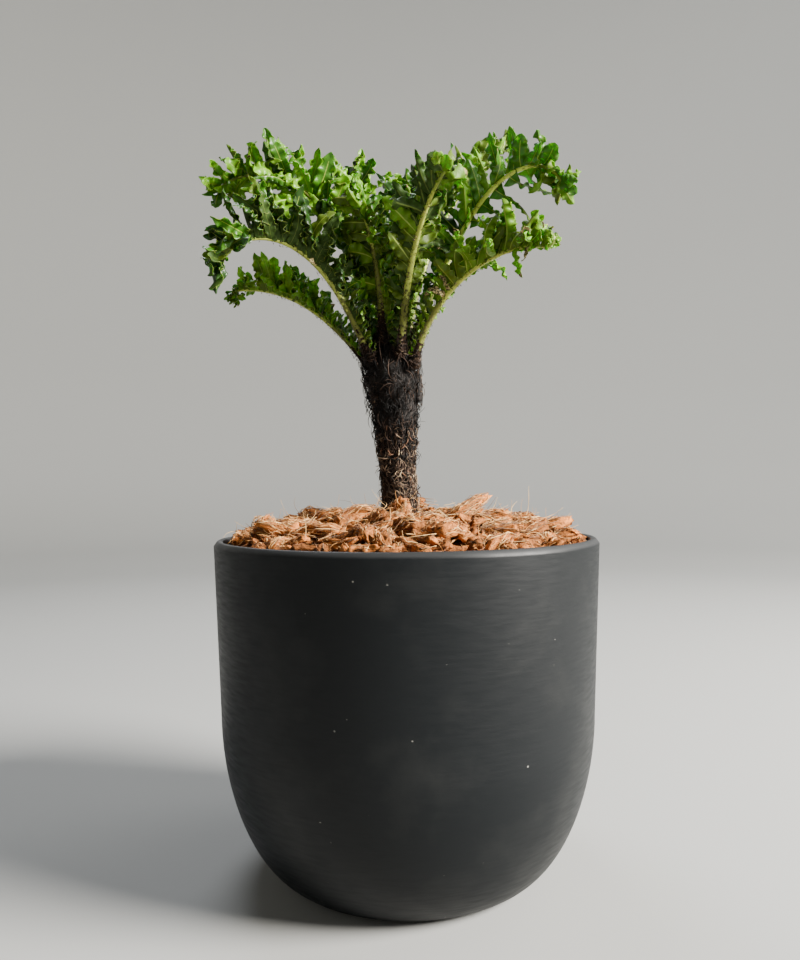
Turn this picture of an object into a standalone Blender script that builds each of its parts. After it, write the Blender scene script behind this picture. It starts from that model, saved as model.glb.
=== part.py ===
"""Dwarf tree fern in a turned matt pot, in metres, +Z up, with its origin under the middle of the pot.

Pot, growing medium, husk mulch, trunk, and one solid for each frond. A frond is a bent tapering rib
with thin leaflets down both sides, their roots sunk in the rib.
"""

import math
import random
from collections import namedtuple

import bmesh
import bpy
from mathutils import Quaternion, Vector
from mathutils.bvhtree import BVHTree

Frond = namedtuple(
    "Frond", "name azimuth length rise_foot rise_tip bend sweep roll vee twist seat leaflet"
)
Obstacle = namedtuple("Obstacle", "tree points middle reach")

SEED = 11
GAP = 0.0003
WELD = 0.00005
SHARP_ANGLE = 35.0
UP = Vector((0.0, 0.0, 1.0))

# Pot: a straight, slightly tapering wall over a rounded foot
RIM_RADIUS = 0.080
POT_HEIGHT = 0.1364
WALL = 0.0038
WALL_TAPER = 0.0387
FOOT_HEIGHT = 0.0656
BASE_RADIUS = 0.047
FOOT_ROUNDNESS = 1.84
FOOT_POINTS = 7
CHAMFER_HEIGHT = 0.0021
CHAMFER_WIDTH = 0.0016
LIP_ROUND = 0.0005
FLOOR = 0.005
FLOOR_FILLET = 0.004
POT_STEPS = 48

# Growing medium, and the mound of husk on it
SOIL_TOP = 0.127
BED_EDGE = 0.1335
BED_CROWN = 0.1462
BED_HOLE = 0.0121
BED_RINGS = 4
BED_STEPS = 24
CHIP_COUNT = 46
CHIP_LENGTH = (0.011, 0.021)
CHIP_WIDTH = (0.006, 0.011)
CHIP_THICKNESS = (0.0045, 0.0085)
CHIP_PULL = (0.62, 1.0)
CHIP_LIFT = (0.0, 0.3)
CHIP_TILT = 26.0
CHIP_MARGIN = 0.001
CHIP_STRAY = 0.25
GOLDEN_TURN = math.pi * (3.0 - math.sqrt(5.0))

# Trunk: heights above its foot with radii, then a domed head that the fronds stand on
TRUNK_FOOT = SOIL_TOP + GAP
TRUNK_SHIFT = -0.0011
TRUNK_LEAN = -0.056
TRUNK_RADII = (
    (0.000, 0.0100),
    (0.008, 0.0088),
    (0.018, 0.0079),
    (0.032, 0.0073),
    (0.044, 0.0077),
    (0.056, 0.0094),
    (0.066, 0.0109),
    (0.075, 0.0122),
)
HEAD_TOP = 0.0930
HEAD_RINGS = 6
TRUNK_STEPS = 24
TRUNK_BUMP = 0.0006

# Fronds, with angles in degrees: azimuth, length of the rib, its rise at foot and tip and how late it bends,
# its sweep to one side, the roll and vee of the blade at its tip, the leaflets' twist, the seat's distance from
# the trunk's middle, and the longest leaflet
FRONDS = (
    Frond("frond_front", -65, 0.080, 78, 8, 1.7, -5, 0, 26, 30, 0.0092, 0.0180),
    Frond("frond_right_high", -24, 0.106, 62, -75, 4.8, -1, 132, 8, 20, 0.0070, 0.0205),
    Frond("frond_left", 211, 0.090, 62, -74, 2.5, -5, -10, 46, 34, 0.0090, 0.0205),
    Frond("frond_right_low", -41, 0.089, 75, -21, 0.91, -10, 10, 44, -30, 0.0112, 0.0165),
    Frond("frond_left_low", 161, 0.080, 50, -8, 1.7, 4, 0, 50, 30, 0.0095, 0.0150),
    Frond("frond_left_high", 182, 0.114, 77, -40, 2.5, -5, -105, 14, 34, 0.0060, 0.0205),
    Frond("frond_right_back", 36, 0.111, 78, 38, 1.4, -15, 0, 26, -30, 0.0070, 0.0200),
    Frond("frond_left_back", 120, 0.100, 84, 6, 3.2, 24, 0, 26, 34, 0.0060, 0.0200),
    Frond("frond_back_low", 100, 0.090, 60, -60, 3.0, 0, 0, 30, 34, 0.0105, 0.0190),
    Frond("frond_back_high", 70, 0.098, 82, 30, 2.6, 0, 0, 26, 34, 0.0075, 0.0195),
    Frond("frond_centre", -118, 0.058, 84, 58, 2.0, -20, 0, 30, 30, 0.0055, 0.0150),
)
RIB_FOOT_RADIUS = 0.0019
RIB_TIP_RADIUS = 0.0006
PATH_STEPS = 120
LEAFLET_PAIRS = 14
FIRST_PAIR = 0.09
LAST_PAIR = 1.0
ROOT_SHARE = 0.56
SIDE_SHIFT = 0.14
TIP_LEAFLET = 0.005
LEAFLET_SHORTEST = 0.0050
LEAFLET_PEAK = 1.7
LEAFLET_SLIMNESS = 0.40
LEAFLET_NARROWEST = 0.001
LEAFLET_WIDEST = 0.0080
LEAFLET_TAPER = 0.25
LEAFLET_LOBE = 0.14
LEAFLET_WAVE = 0.10
LEAFLET_CURL = 0.14
LEAFLET_THICKNESS = 0.00036
LEAFLET_LONG = 0.012
LEAFLET_SHORT = 0.007
LEAFLET_FITS = (1.0, 0.8, 0.62, 0.46)
LEAFLET_CLEARANCE = 0.0005
VEE_FOOT = 66.0
LEAN_FORWARD = 22.0
JITTER = 8.0
LENGTH_JITTER = 0.1


def material(name, colour, roughness):
    """A Principled material in one colour."""
    made = bpy.data.materials.new(name)
    made.use_nodes = True
    shader = made.node_tree.nodes["Principled BSDF"]
    shader.inputs["Base Color"].default_value = (*colour, 1.0)
    shader.inputs["Roughness"].default_value = roughness
    shader.inputs["Metallic"].default_value = 0.0
    return made


def new_collection(name, hidden=False):
    made = bpy.data.collections.new(name)
    made.hide_render = hidden
    bpy.context.scene.collection.children.link(made)
    return made


def object_from(name, shape, collection, look=None):
    """An object that takes the shape of a bmesh, which is freed."""
    mesh = bpy.data.meshes.new(name)
    shape.to_mesh(mesh)
    shape.free()
    made = bpy.data.objects.new(name, mesh)
    collection.objects.link(made)
    if look:
        mesh.materials.append(look)
    return made


def apply_modifiers(made):
    """Gives the object the mesh that its modifiers make, and removes them."""
    bpy.context.view_layer.update()
    graph = bpy.context.evaluated_depsgraph_get()
    mesh = bpy.data.meshes.new_from_object(made.evaluated_get(graph))
    old = made.data
    made.modifiers.clear()
    made.data = mesh
    bpy.data.meshes.remove(old)
    mesh.name = made.name


def turned(name, profile, steps, collection, look):
    """A profile of radii and heights, turned round the Z axis by a Screw modifier."""
    shape = bmesh.new()
    points = [shape.verts.new((radius, 0.0, height)) for radius, height in profile]
    for start, end in zip(points, points[1:]):
        shape.edges.new((start, end))
    made = object_from(name, shape, collection, look)
    screw = made.modifiers.new("Turn", "SCREW")
    screw.axis = "Z"
    screw.steps = steps
    screw.render_steps = steps
    screw.use_merge_vertices = True
    screw.merge_threshold = WELD
    apply_modifiers(made)
    return made


def fuse(made, others):
    """Joins every object of a collection to this one with one union, then removes them."""
    union = made.modifiers.new("Fuse", "BOOLEAN")
    union.operation = "UNION"
    union.operand_type = "COLLECTION"
    union.collection = others
    union.solver = "EXACT"
    apply_modifiers(made)
    for helper in list(others.objects):
        bpy.data.objects.remove(helper)
    bpy.data.collections.remove(others)


def smooth(made):
    made.data.shade_smooth()
    made.data.set_sharp_from_angle(angle=math.radians(SHARP_ANGLE))


def foot_curve():
    """Radii and heights of the pot's rounded foot, from its flat base up to the straight wall."""
    wall_height = POT_HEIGHT - CHAMFER_HEIGHT - FOOT_HEIGHT
    wall_radius = RIM_RADIUS - WALL_TAPER * wall_height
    curve = [(BASE_RADIUS, 0.0)]
    for step in range(1, FOOT_POINTS):
        turn = math.radians(90.0 * step / FOOT_POINTS)
        across = math.sin(turn) ** (2.0 / FOOT_ROUNDNESS)
        down = math.cos(turn) ** (2.0 / FOOT_ROUNDNESS)
        curve.append((BASE_RADIUS + (wall_radius - BASE_RADIUS) * across, FOOT_HEIGHT * (1.0 - down)))
    curve.append((wall_radius, FOOT_HEIGHT))
    return curve


def outer_radius(height):
    """The pot's outer radius at a height."""
    curve = foot_curve() + [(RIM_RADIUS, POT_HEIGHT - CHAMFER_HEIGHT)]
    for (low_radius, low), (high_radius, high) in zip(curve, curve[1:]):
        if height <= high:
            return low_radius + (high_radius - low_radius) * (height - low) / (high - low)
    return RIM_RADIUS


def inner_radius(height):
    return outer_radius(height) - WALL


def inside_profile(top, clear):
    """The pot's inside from the middle of its floor up to a height, drawn in by a clearance."""
    profile = [(0.0, FLOOR + clear), (inner_radius(FLOOR) - FLOOR_FILLET - clear, FLOOR + clear)]
    heights = [height for _, height in foot_curve() if height > FLOOR + FLOOR_FILLET]
    profile += [(inner_radius(height) - clear, height) for height in heights]
    profile.append((inner_radius(top) - clear, top))
    return profile


def build_pot(collection):
    inside = inside_profile(POT_HEIGHT - CHAMFER_HEIGHT, 0.0)
    lip = [
        (RIM_RADIUS - WALL + LIP_ROUND, POT_HEIGHT),
        (RIM_RADIUS - CHAMFER_WIDTH, POT_HEIGHT),
        (RIM_RADIUS, POT_HEIGHT - CHAMFER_HEIGHT),
    ]
    outside = list(reversed(foot_curve())) + [(0.0, 0.0)]
    look = material("matt_black_glaze", (0.012, 0.013, 0.014), 0.6)
    pot = turned("pot", inside + lip + outside, POT_STEPS, collection, look)
    smooth(pot)


def build_soil(collection):
    """The medium fills the pot up to the husk, one gap clear of the pot's wall and floor."""
    fill = inside_profile(SOIL_TOP, GAP)
    look = material("growing_medium", (0.045, 0.028, 0.018), 0.95)
    profile = [(0.0, SOIL_TOP)] + list(reversed(fill))
    soil = turned("growing_medium", profile, POT_STEPS, collection, look)
    smooth(soil)


def bed_height(radius):
    """Height of the bed of husk, a low mound round the trunk."""
    share = min(1.0, radius / inner_radius(BED_EDGE))
    return BED_EDGE + (BED_CROWN - BED_EDGE) * (1.0 - share**2)


def husk_chip(count, reach, draw, collection):
    """A torn block of husk: a cube drawn out to its size, its corners pulled about, laid on the bed."""
    size = [draw.uniform(*sizes) for sizes in (CHIP_LENGTH, CHIP_WIDTH, CHIP_THICKNESS)]
    half = size[0] / 2.0 + CHIP_MARGIN
    around = count * GOLDEN_TURN + draw.uniform(-CHIP_STRAY, CHIP_STRAY)
    radius = BED_HOLE + half + (reach - BED_HOLE - 2.0 * half) * math.sqrt((count + 0.5) / CHIP_COUNT)
    height = bed_height(radius) + size[2] * draw.uniform(*CHIP_LIFT)
    place = Vector((radius * math.cos(around), radius * math.sin(around), height))
    turn = Quaternion(UP, draw.uniform(0.0, math.tau))
    for axis in (Vector((1, 0, 0)), Vector((0, 1, 0))):
        turn = turn @ Quaternion(axis, math.radians(draw.uniform(-CHIP_TILT, CHIP_TILT)))
    shape = bmesh.new()
    bmesh.ops.create_cube(shape, size=1.0)
    for corner in shape.verts:
        pulled = [corner.co[axis] * size[axis] * draw.uniform(*CHIP_PULL) for axis in range(3)]
        corner.co = turn @ Vector(pulled) + place
    bmesh.ops.triangulate(shape, faces=shape.faces)
    object_from(f"chip_{count}", shape, collection)


def build_mulch(collection):
    """The bed of coconut husk: a ring-shaped mound with torn blocks standing out of it."""
    draw = random.Random(SEED)
    edge = inner_radius(BED_EDGE) - GAP
    rings = [BED_HOLE + (edge - BED_HOLE) * step / BED_RINGS for step in range(BED_RINGS + 1)]
    bottom = SOIL_TOP + GAP
    profile = [(BED_HOLE, bottom)] + [(radius, bed_height(radius)) for radius in rings]
    profile += [(inner_radius(bottom) - GAP, bottom), (BED_HOLE, bottom)]
    look = material("coconut_husk", (0.42, 0.20, 0.08), 0.9)
    bed = turned("husk_mulch", profile, BED_STEPS, collection, look)
    chips = new_collection("husk_chips", hidden=True)
    for count in range(CHIP_COUNT):
        husk_chip(count, edge, draw, chips)
    fuse(bed, chips)


def trunk_axis(height):
    """The middle of the leaning trunk at a height above its foot."""
    return Vector((TRUNK_SHIFT + TRUNK_LEAN * height, 0.0, TRUNK_FOOT + height))


def head_height(radius):
    """Height above the trunk's foot of its domed head, at a distance from the middle."""
    shoulder, widest = TRUNK_RADII[-1]
    return HEAD_TOP - (HEAD_TOP - shoulder) * (radius / widest) ** 2


def build_trunk(collection):
    """A turned, tapering stem with a flat foot and a domed head, made uneven and then leant."""
    draw = random.Random(SEED + 1)
    shoulder, widest = TRUNK_RADII[-1]
    inner = [widest * step / HEAD_RINGS for step in range(HEAD_RINGS)]
    profile = [(radius, head_height(radius)) for radius in inner]
    profile += [(radius, height) for height, radius in reversed(TRUNK_RADII)]
    profile.append((0.0, 0.0))
    look = material("fibrous_trunk", (0.030, 0.020, 0.014), 0.95)
    trunk = turned("trunk", profile, TRUNK_STEPS, collection, look)
    for vertex in trunk.data.vertices:
        height = vertex.co.z
        flat = Vector((vertex.co.x, vertex.co.y, 0.0))
        if height < shoulder and flat.length > GAP:
            flat *= 1.0 + draw.uniform(-TRUNK_BUMP, TRUNK_BUMP) / flat.length
        vertex.co = trunk_axis(height) + flat
    smooth(trunk)
    return trunk


def frond_frame(frond, share):
    """The rib's direction, and the directions across it and up from it, at a share of its length."""
    rise = math.radians(frond.rise_foot + (frond.rise_tip - frond.rise_foot) * share**frond.bend)
    azimuth = math.radians(frond.azimuth + frond.sweep * share)
    along = Vector((math.cos(rise) * math.cos(azimuth), math.cos(rise) * math.sin(azimuth), math.sin(rise)))
    level = Vector((math.sin(azimuth), -math.cos(azimuth), 0.0))
    across = Quaternion(along, math.radians(frond.roll * share)) @ level
    return along, across, across.cross(along)


def rib_radius(share):
    return RIB_FOOT_RADIUS + (RIB_TIP_RADIUS - RIB_FOOT_RADIUS) * share


def rib_seat(frond):
    """Where the rib's foot stands, one gap off the trunk's domed head and square to the rib."""
    shoulder, widest = TRUNK_RADII[-1]
    azimuth = math.radians(frond.azimuth)
    outward = Vector((math.cos(azimuth), math.sin(azimuth), 0.0))
    slope = 2.0 * (HEAD_TOP - shoulder) * frond.seat / widest**2
    along = frond_frame(frond, 0.0)[0]
    cosine = along.dot((outward * slope + UP).normalized())
    lift = (GAP + RIB_FOOT_RADIUS * math.sqrt(1.0 - cosine**2)) / cosine
    return trunk_axis(head_height(frond.seat)) + outward * frond.seat + along * lift


def rib_path(frond):
    """Points down the middle of the rib, found by following its direction in small steps."""
    path = [rib_seat(frond)]
    for step in range(PATH_STEPS):
        along = frond_frame(frond, (step + 0.5) / PATH_STEPS)[0]
        path.append(path[-1] + along * frond.length / PATH_STEPS)
    return path


def on_path(path, share):
    """The point at a share of the way down a rib."""
    run = min(max(share, 0.0), 1.0) * PATH_STEPS
    before = min(int(run), PATH_STEPS - 1)
    return path[before].lerp(path[before + 1], run - before)


def rib_edge(frond, path, share, side):
    """A point on the thin edge of the rib, where leaflets grow from."""
    across = frond_frame(frond, share)[1]
    return on_path(path, share) + across * side * rib_radius(share)


def leaflet_length(frond, share):
    """Short at the frond's foot, longest past its middle, and short again at its tip."""
    swell = math.sin(math.pi * share**LEAFLET_PEAK)
    return LEAFLET_SHORTEST + (frond.leaflet - LEAFLET_SHORTEST) * max(0.0, swell)


def leaflet_rows(frond, root, share, side, length, draws):
    """Pairs of points up a crisped leaflet, from its root on the rib's edge to the one at its tip."""
    along, across, up = frond_frame(frond, share)
    vee = math.radians(VEE_FOOT + (frond.vee - VEE_FOOT) * share + JITTER * draws[0])
    lean = math.radians(LEAN_FORWARD + JITTER * draws[1])
    outward = across * side * math.cos(vee) + up * math.sin(vee)
    outward = outward * math.cos(lean) + along * math.sin(lean)
    breadth = (along - outward * along.dot(outward)).normalized()
    breadth = Quaternion(outward, side * math.radians(frond.twist + JITTER * draws[2])) @ breadth
    normal = outward.cross(breadth)
    middle = root[0].lerp(root[1], 0.5)
    half = min(LEAFLET_WIDEST, LEAFLET_SLIMNESS * length + LEAFLET_NARROWEST) / 2.0
    count = 2 + (length > LEAFLET_SHORT) + (length > LEAFLET_LONG)
    rows = [root]
    for row in range(1, count + 1):
        reach = row / count
        zigzag = 1 if row % 2 else -1
        width = half * (1.0 + LEAFLET_LOBE * zigzag) * (1.0 - LEAFLET_TAPER * reach)
        wave = LEAFLET_WAVE * length / count * zigzag
        place = middle + outward * length * reach + normal * LEAFLET_CURL * length * draws[3] * reach**2
        if row == count:
            rows.append([place])
        else:
            rows.append([place + (breadth * width + normal * wave) * edge for edge in (-1, 1)])
    return rows


def add_strip(shape, rows):
    """Faces between the rows of a leaflet, whose first row is already in the shape."""
    for low, high in zip(rows, rows[1:]):
        corners = [low[0], low[1]] + list(reversed(high))
        shape.faces.new(corners)


def obstacle(shape):
    """What a clearance test needs of a shape, which is freed: a search tree, its points and its reach."""
    tree = BVHTree.FromBMesh(shape)
    points = [vertex.co.copy() for vertex in shape.verts]
    points += [(edge.verts[0].co + edge.verts[1].co) / 2.0 for edge in shape.edges]
    middle = sum(points, Vector()) / len(points)
    shape.free()
    return Obstacle(tree, points, middle, max((point - middle).length for point in points))


def leaflet_obstacle(rows):
    shape = bmesh.new()
    add_strip(shape, [[shape.verts.new(point) for point in row] for row in rows])
    return obstacle(shape)


def stands_clear(leaflet, obstacles):
    """Whether a leaflet neither crosses nor comes near anything that is already there."""
    near = LEAFLET_CLEARANCE + LEAFLET_THICKNESS / 2.0
    for other in obstacles:
        if (other.middle - leaflet.middle).length > other.reach + leaflet.reach + near:
            continue
        if leaflet.tree.overlap(other.tree):
            return False
        if any(other.tree.find_nearest(point, near)[0] for point in leaflet.points):
            return False
        if any(leaflet.tree.find_nearest(point, near)[0] for point in other.points):
            return False
    return True


def fitted_leaflet(frond, root, share, side, draws, obstacles):
    """The longest form of a leaflet that its place allows, with its obstacle, or None."""
    longest = leaflet_length(frond, share) * (1.0 + LENGTH_JITTER * draws[4])
    for fit in LEAFLET_FITS:
        rows = leaflet_rows(frond, root, share, side, longest * fit, draws)
        leaflet = leaflet_obstacle(rows)
        if stands_clear(leaflet, obstacles):
            return rows, leaflet
    return None, None


def frond_stations(side):
    """Shares of the rib's length where its edge bends: its foot, and both ends of each leaflet's root."""
    spacing = (LAST_PAIR - FIRST_PAIR) / LEAFLET_PAIRS
    stations = [0.0]
    for pair in range(LEAFLET_PAIRS):
        start = FIRST_PAIR + spacing * (pair + SIDE_SHIFT * side)
        stations += [start, start + spacing * ROOT_SHARE]
    return stations + [1.0]


def build_frond(frond, obstacles, collection, look):
    """One thin surface: the rib's two strips, cut to between the leaflets that grow from their edges."""
    draw = random.Random(frond.name)
    path = rib_path(frond)
    shape = bmesh.new()
    weights = shape.verts.layers.deform.verify()
    whole = 2.0 * RIB_FOOT_RADIUS
    middle = [shape.verts.new(on_path(path, share)) for share in frond_stations(0)]
    for vertex, share in zip(middle, frond_stations(0)):
        vertex[weights][0] = rib_radius(share) / RIB_FOOT_RADIUS
    tip = shape.verts.new(path[-1] + frond_frame(frond, 1.0)[0] * TIP_LEAFLET)
    own = [rib_obstacle(frond, (2,))]
    for side in (-1, 1):
        shares = frond_stations(side)
        edge = [shape.verts.new(rib_edge(frond, path, share, side)) for share in shares]
        add_strip(shape, list(zip(middle, edge)))
        shape.faces.new((middle[-1], edge[-1], tip))
        for pair in range(LEAFLET_PAIRS):
            low, high = edge[2 * pair + 1], edge[2 * pair + 2]
            share = (shares[2 * pair + 1] + shares[2 * pair + 2]) / 2.0
            draws = [draw.uniform(-1.0, 1.0) for _ in range(5)]
            root = [low.co.copy(), high.co.copy()]
            rows, leaflet = fitted_leaflet(frond, root, share, side, draws, obstacles + own)
            if rows:
                own.append(leaflet)
                add_strip(shape, [[low, high]] + [[shape.verts.new(p) for p in row] for row in rows[1:]])
    for vertex in shape.verts:
        if vertex not in middle:
            vertex[weights][0] = LEAFLET_THICKNESS / whole
    bmesh.ops.recalc_face_normals(shape, faces=shape.faces)
    bmesh.ops.triangulate(shape, faces=shape.faces)
    made = object_from(frond.name, shape, collection, look)
    made.vertex_groups.new(name="thickness")
    wall = made.modifiers.new("Thickness", "SOLIDIFY")
    wall.thickness = whole
    wall.offset = 0.0
    wall.vertex_group = "thickness"
    apply_modifiers(made)
    smooth(made)
    return own[1:]


def rib_obstacle(frond, ways):
    """Strips along a frond's rib, as broad as it is: across it (1), or up through it (2)."""
    path = rib_path(frond)
    shape = bmesh.new()
    for way in ways:
        rows = []
        for step in range(LEAFLET_PAIRS + 1):
            share = step / LEAFLET_PAIRS
            reach = frond_frame(frond, share)[way] * rib_radius(share)
            rows.append([shape.verts.new(on_path(path, share) + reach * side) for side in (-1, 1)])
        add_strip(shape, rows)
    return obstacle(shape)


def build_fronds(trunk, collection):
    """The fronds in turn, their leaflets clear of the trunk, every rib and the leaflets before them."""
    look = material("fern_leaf", (0.060, 0.200, 0.020), 0.45)
    stem = bmesh.new()
    stem.from_mesh(trunk.data)
    stem = obstacle(stem)
    ribs = {frond: rib_obstacle(frond, (1, 2)) for frond in FRONDS}
    leaflets = []
    for frond in FRONDS:
        others = [ribs[other] for other in FRONDS if other != frond]
        leaflets += build_frond(frond, [stem] + others + leaflets, collection, look)


def main():
    for old in list(bpy.data.objects):
        bpy.data.objects.remove(old)
    collection = new_collection("dwarf_tree_fern")
    build_pot(collection)
    build_soil(collection)
    build_mulch(collection)
    trunk = build_trunk(collection)
    build_fronds(trunk, collection)


main()
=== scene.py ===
"""Dwarf tree fern in a matt black pot: everything that is seen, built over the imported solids.

The solids give the sizes and the places. Here the pot is turned finely, the husk mulch is torn into fibrous
chunks, the trunk gets its bark and hair, and each frond gets a rib with crisped leaflets, grown by the same
rule as its solid. Sizes are in metres, with +Z up and the origin under the middle of the pot.
"""

import math
import random
from collections import namedtuple

import bpy
import numpy as np
from bpy.props import FloatProperty, FloatVectorProperty, IntProperty, PointerProperty
from mathutils import Matrix, Quaternion, Vector, noise


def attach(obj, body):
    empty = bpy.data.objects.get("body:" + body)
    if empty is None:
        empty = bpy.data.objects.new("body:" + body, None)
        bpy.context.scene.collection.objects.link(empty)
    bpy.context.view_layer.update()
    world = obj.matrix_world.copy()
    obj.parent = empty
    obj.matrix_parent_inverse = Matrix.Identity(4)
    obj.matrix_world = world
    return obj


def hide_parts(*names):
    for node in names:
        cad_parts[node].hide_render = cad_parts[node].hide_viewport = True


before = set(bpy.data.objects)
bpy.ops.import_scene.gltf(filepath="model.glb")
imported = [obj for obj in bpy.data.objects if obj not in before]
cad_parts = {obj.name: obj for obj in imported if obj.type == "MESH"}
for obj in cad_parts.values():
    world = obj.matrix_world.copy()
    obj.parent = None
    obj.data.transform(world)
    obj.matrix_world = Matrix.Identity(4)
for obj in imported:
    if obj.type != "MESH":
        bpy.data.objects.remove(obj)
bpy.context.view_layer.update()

bl_info = {
    "name": "Dwarf Tree Fern in a Pot",
    "version": (1, 0, 0),
    "blender": (4, 5, 0),
    "location": "View3D > Sidebar > Fern",
    "description": "Builds a potted dwarf tree fern piece by piece over its solids",
    "category": "Add Mesh",
}

UP = Vector((0.0, 0.0, 1.0))
GAP = 0.0003
SEED = 11
GOLDEN_TURN = math.pi * (3.0 - math.sqrt(5.0))

# Pot, medium and mulch, as the solids have them
FOOT_HEIGHT = 0.0656
BASE_RADIUS = 0.047
FOOT_ROUNDNESS = 1.84
WALL_TAPER = 0.0387
CHAMFER_HEIGHT = 0.0021
CHAMFER_WIDTH = 0.0016
LIP_ROUND = 0.0005
# The edges of the rim are rounded by about this much
EDGE_ROUND = 0.0004
FLOOR = 0.005
SOIL_TOP = 0.127
BED_EDGE = 0.1335
BED_CROWN = 0.1462
BED_HOLE = 0.0121

# The torn blocks of the mulch, as the solid has them: how many, the ranges of their length, width and
# thickness, how far they tilt in degrees, stray in radians and lift in thicknesses, and how far each corner
# is pulled in
CHUNK_COUNT = 46
CHUNK_SIZES = ((0.011, 0.021), (0.006, 0.011), (0.0045, 0.0085))
CHUNK_TILT = 26.0
CHUNK_STRAY = 0.25
CHUNK_LIFT = 0.3
CHUNK_MARGIN = 0.001
CHUNK_CORNER_VALUES = 24
CHUNK_PULL = (0.62, 1.0)

# Trunk, as the solid has it
TRUNK_FOOT = SOIL_TOP + GAP
TRUNK_SHIFT = -0.0011
TRUNK_LEAN = -0.056
TRUNK_RADII = (
    (0.000, 0.0100),
    (0.008, 0.0088),
    (0.018, 0.0079),
    (0.032, 0.0073),
    (0.044, 0.0077),
    (0.056, 0.0094),
    (0.066, 0.0109),
    (0.075, 0.0122),
)
HEAD_TOP = 0.0930

# Fronds, as the solids have them, but with the vee, the twist and the longest leaflet of each side, left and
# then right, and with six more values: how far the leaflets of each side lean towards the tip, how crowded
# they are, the shares of bright and of fresh leaflets (the rest are deep green), the share that is browned,
# and how far the tip is coiled, in degrees. The bright, fresh and deep shares follow how brightly each frond
# is lit: partly leaf age, partly painted light and shade
Frond = namedtuple(
    "Frond",
    "name azimuth length rise_foot rise_tip bend sweep roll seat "
    "vees twists leaflets leans crowds bright fresh browned coil",
)
EVEN = (1.0, 1.0)
FULL = (1.5, 1.5)
FRONDS = (
    Frond("front", -65, 0.080, 78, 8, 1.7, -5, 0, 0.0092,
          (30, 26), (30, 30), (0.0155, 0.018), (14, 22), (1.3, 1.3), 0.15, 0.48, 0.05, 0),
    Frond("right_high", -24, 0.106, 62, -75, 4.8, -1, 132, 0.0070,
          (8, -40), (20, 60), (0.0178, 0.0215), (20, 14), (1.3, 0.5), 0.35, 0.5, 0.02, 0),
    Frond("left", 211, 0.090, 62, -74, 2.5, -5, -10, 0.0090,
          (48, 62), (34, 34), (0.0225, 0.0225), (16, 16), FULL, 0.03, 0.34, 0.04, 0),
    Frond("right_low", -41, 0.089, 75, -21, 0.91, -10, 10, 0.0112,
          (44, 44), (-30, -30), (0.0195, 0.0195), (18, 26), (1.4, 1.4), 0.75, 0.2, 0.12, 450),
    Frond("left_low", 161, 0.080, 50, -8, 1.7, 4, 0, 0.0095,
          (58, 56), (30, 30), (0.0165, 0.0165), (14, 14), FULL, 0.5, 0.48, 0.06, -450),
    Frond("left_high", 182, 0.114, 77, -40, 2.5, -5, -105, 0.0060,
          (12, 14), (34, 34), (0.0214, 0.0188), (12, 16), (1.7, 1.5), 0.5, 0.38, 0.01, 0),
    Frond("right_back", 36, 0.111, 78, 38, 1.4, -15, 0, 0.0070,
          (26, 26), (-30, -30), (0.020, 0.020), (22, 22), EVEN, 0.25, 0.5, 0.02, 0),
    Frond("left_back", 120, 0.100, 84, 6, 3.2, 24, 0, 0.0060,
          (26, 26), (34, 34), (0.020, 0.020), (22, 22), EVEN, 0.3, 0.45, 0.05, 0),
    Frond("back_low", 100, 0.090, 60, -60, 3.0, 0, 0, 0.0105,
          (30, 30), (34, 34), (0.019, 0.019), (22, 22), EVEN, 0.1, 0.4, 0.04, 0),
    Frond("back_high", 70, 0.098, 82, 30, 2.6, 0, 0, 0.0075,
          (26, 26), (34, 34), (0.0195, 0.0195), (22, 22), EVEN, 0.2, 0.5, 0.03, 0),
    Frond("centre", -118, 0.058, 84, 58, 2.0, -20, 0, 0.0055,
          (-42, -42), (30, 30), (0.015, 0.015), (22, 22), (1.3, 1.3), 0.3, 0.5, 0.08, 0),
)
# Looks of a leaf, as its materials are numbered: three greens, an underside for each of them, then the rest
BRIGHT, FRESH, DEEP, UNDERSIDE = range(4)
MIDRIB, DRIED, SHADED_MIDRIB, WITHERED = range(6, 10)
# Single leaflets that stand out of the rule: frond, side, share, length, then vee, lean, twist, curl,
# slimness and look
SINGLE_LEAFLETS = (
    ("right_low", 1, 0.80, 0.0125, -70, 10, 30, -0.2, 0.7, BRIGHT),
    ("right_low", 1, 0.86, 0.0080, -60, 24, 30, 0.8, 0.6, DRIED),
    ("right_low", 1, 0.36, 0.0090, 10, 24, 60, 2.4, 0.6, DRIED),
    ("right_low", 1, 0.40, 0.0080, 30, 30, 10, 2.0, 0.5, DRIED),
    ("left", -1, 0.80, 0.0165, 6, 52, 34, 0.3, 0.55, DEEP),
    ("left", -1, 0.50, 0.0060, -10, 12, 34, 1.0, 0.8, DRIED),
)
COIL_START = 0.95
COIL_END = 1.10
RIB_FOOT_RADIUS = 0.0019
RIB_TIP_RADIUS = 0.0006
RIB_STATIONS = 90
RIB_SIDES = 12
# A rib's foot goes into the trunk's hair by this much, and it flares and shrinks again over this share
RIB_SINK = 0.0012
RIB_FLARE = 0.06
# Shares of a rib at which it stops being scaly and brown, and from which it is green
SCALY_TO = 0.1
BROWN_TO = 0.3
GREEN_FROM = 0.85
# Looks of a rib, as its materials are numbered
STALK, BROWNING_STALK, SCALY_STALK, GREEN_STALK, PAINTED_LIGHT_STALK = range(5)
PATH_STEPS = 120
VEE_FOOT = 66.0
# The small leaflets below this share of a frond stand edge on, like a comb, turned by these degrees
COMB_END = 0.5
COMB_TWIST = 74.0
# Leaflets that crowd each other are pushed up by these degrees
CROWDED_LIFT = 46.0
# Lengths of a leaflet: at a frond's foot, at its tip, at a coiled tip, where a midrib shows, and full
SHORT_LEAFLET = 0.0046
TIP_LEAFLET = 0.0102
COIL_LEAFLET = 0.0044
RIBBED_LEAFLET = 0.009
GROWN_LEAFLET = 0.014
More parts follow.
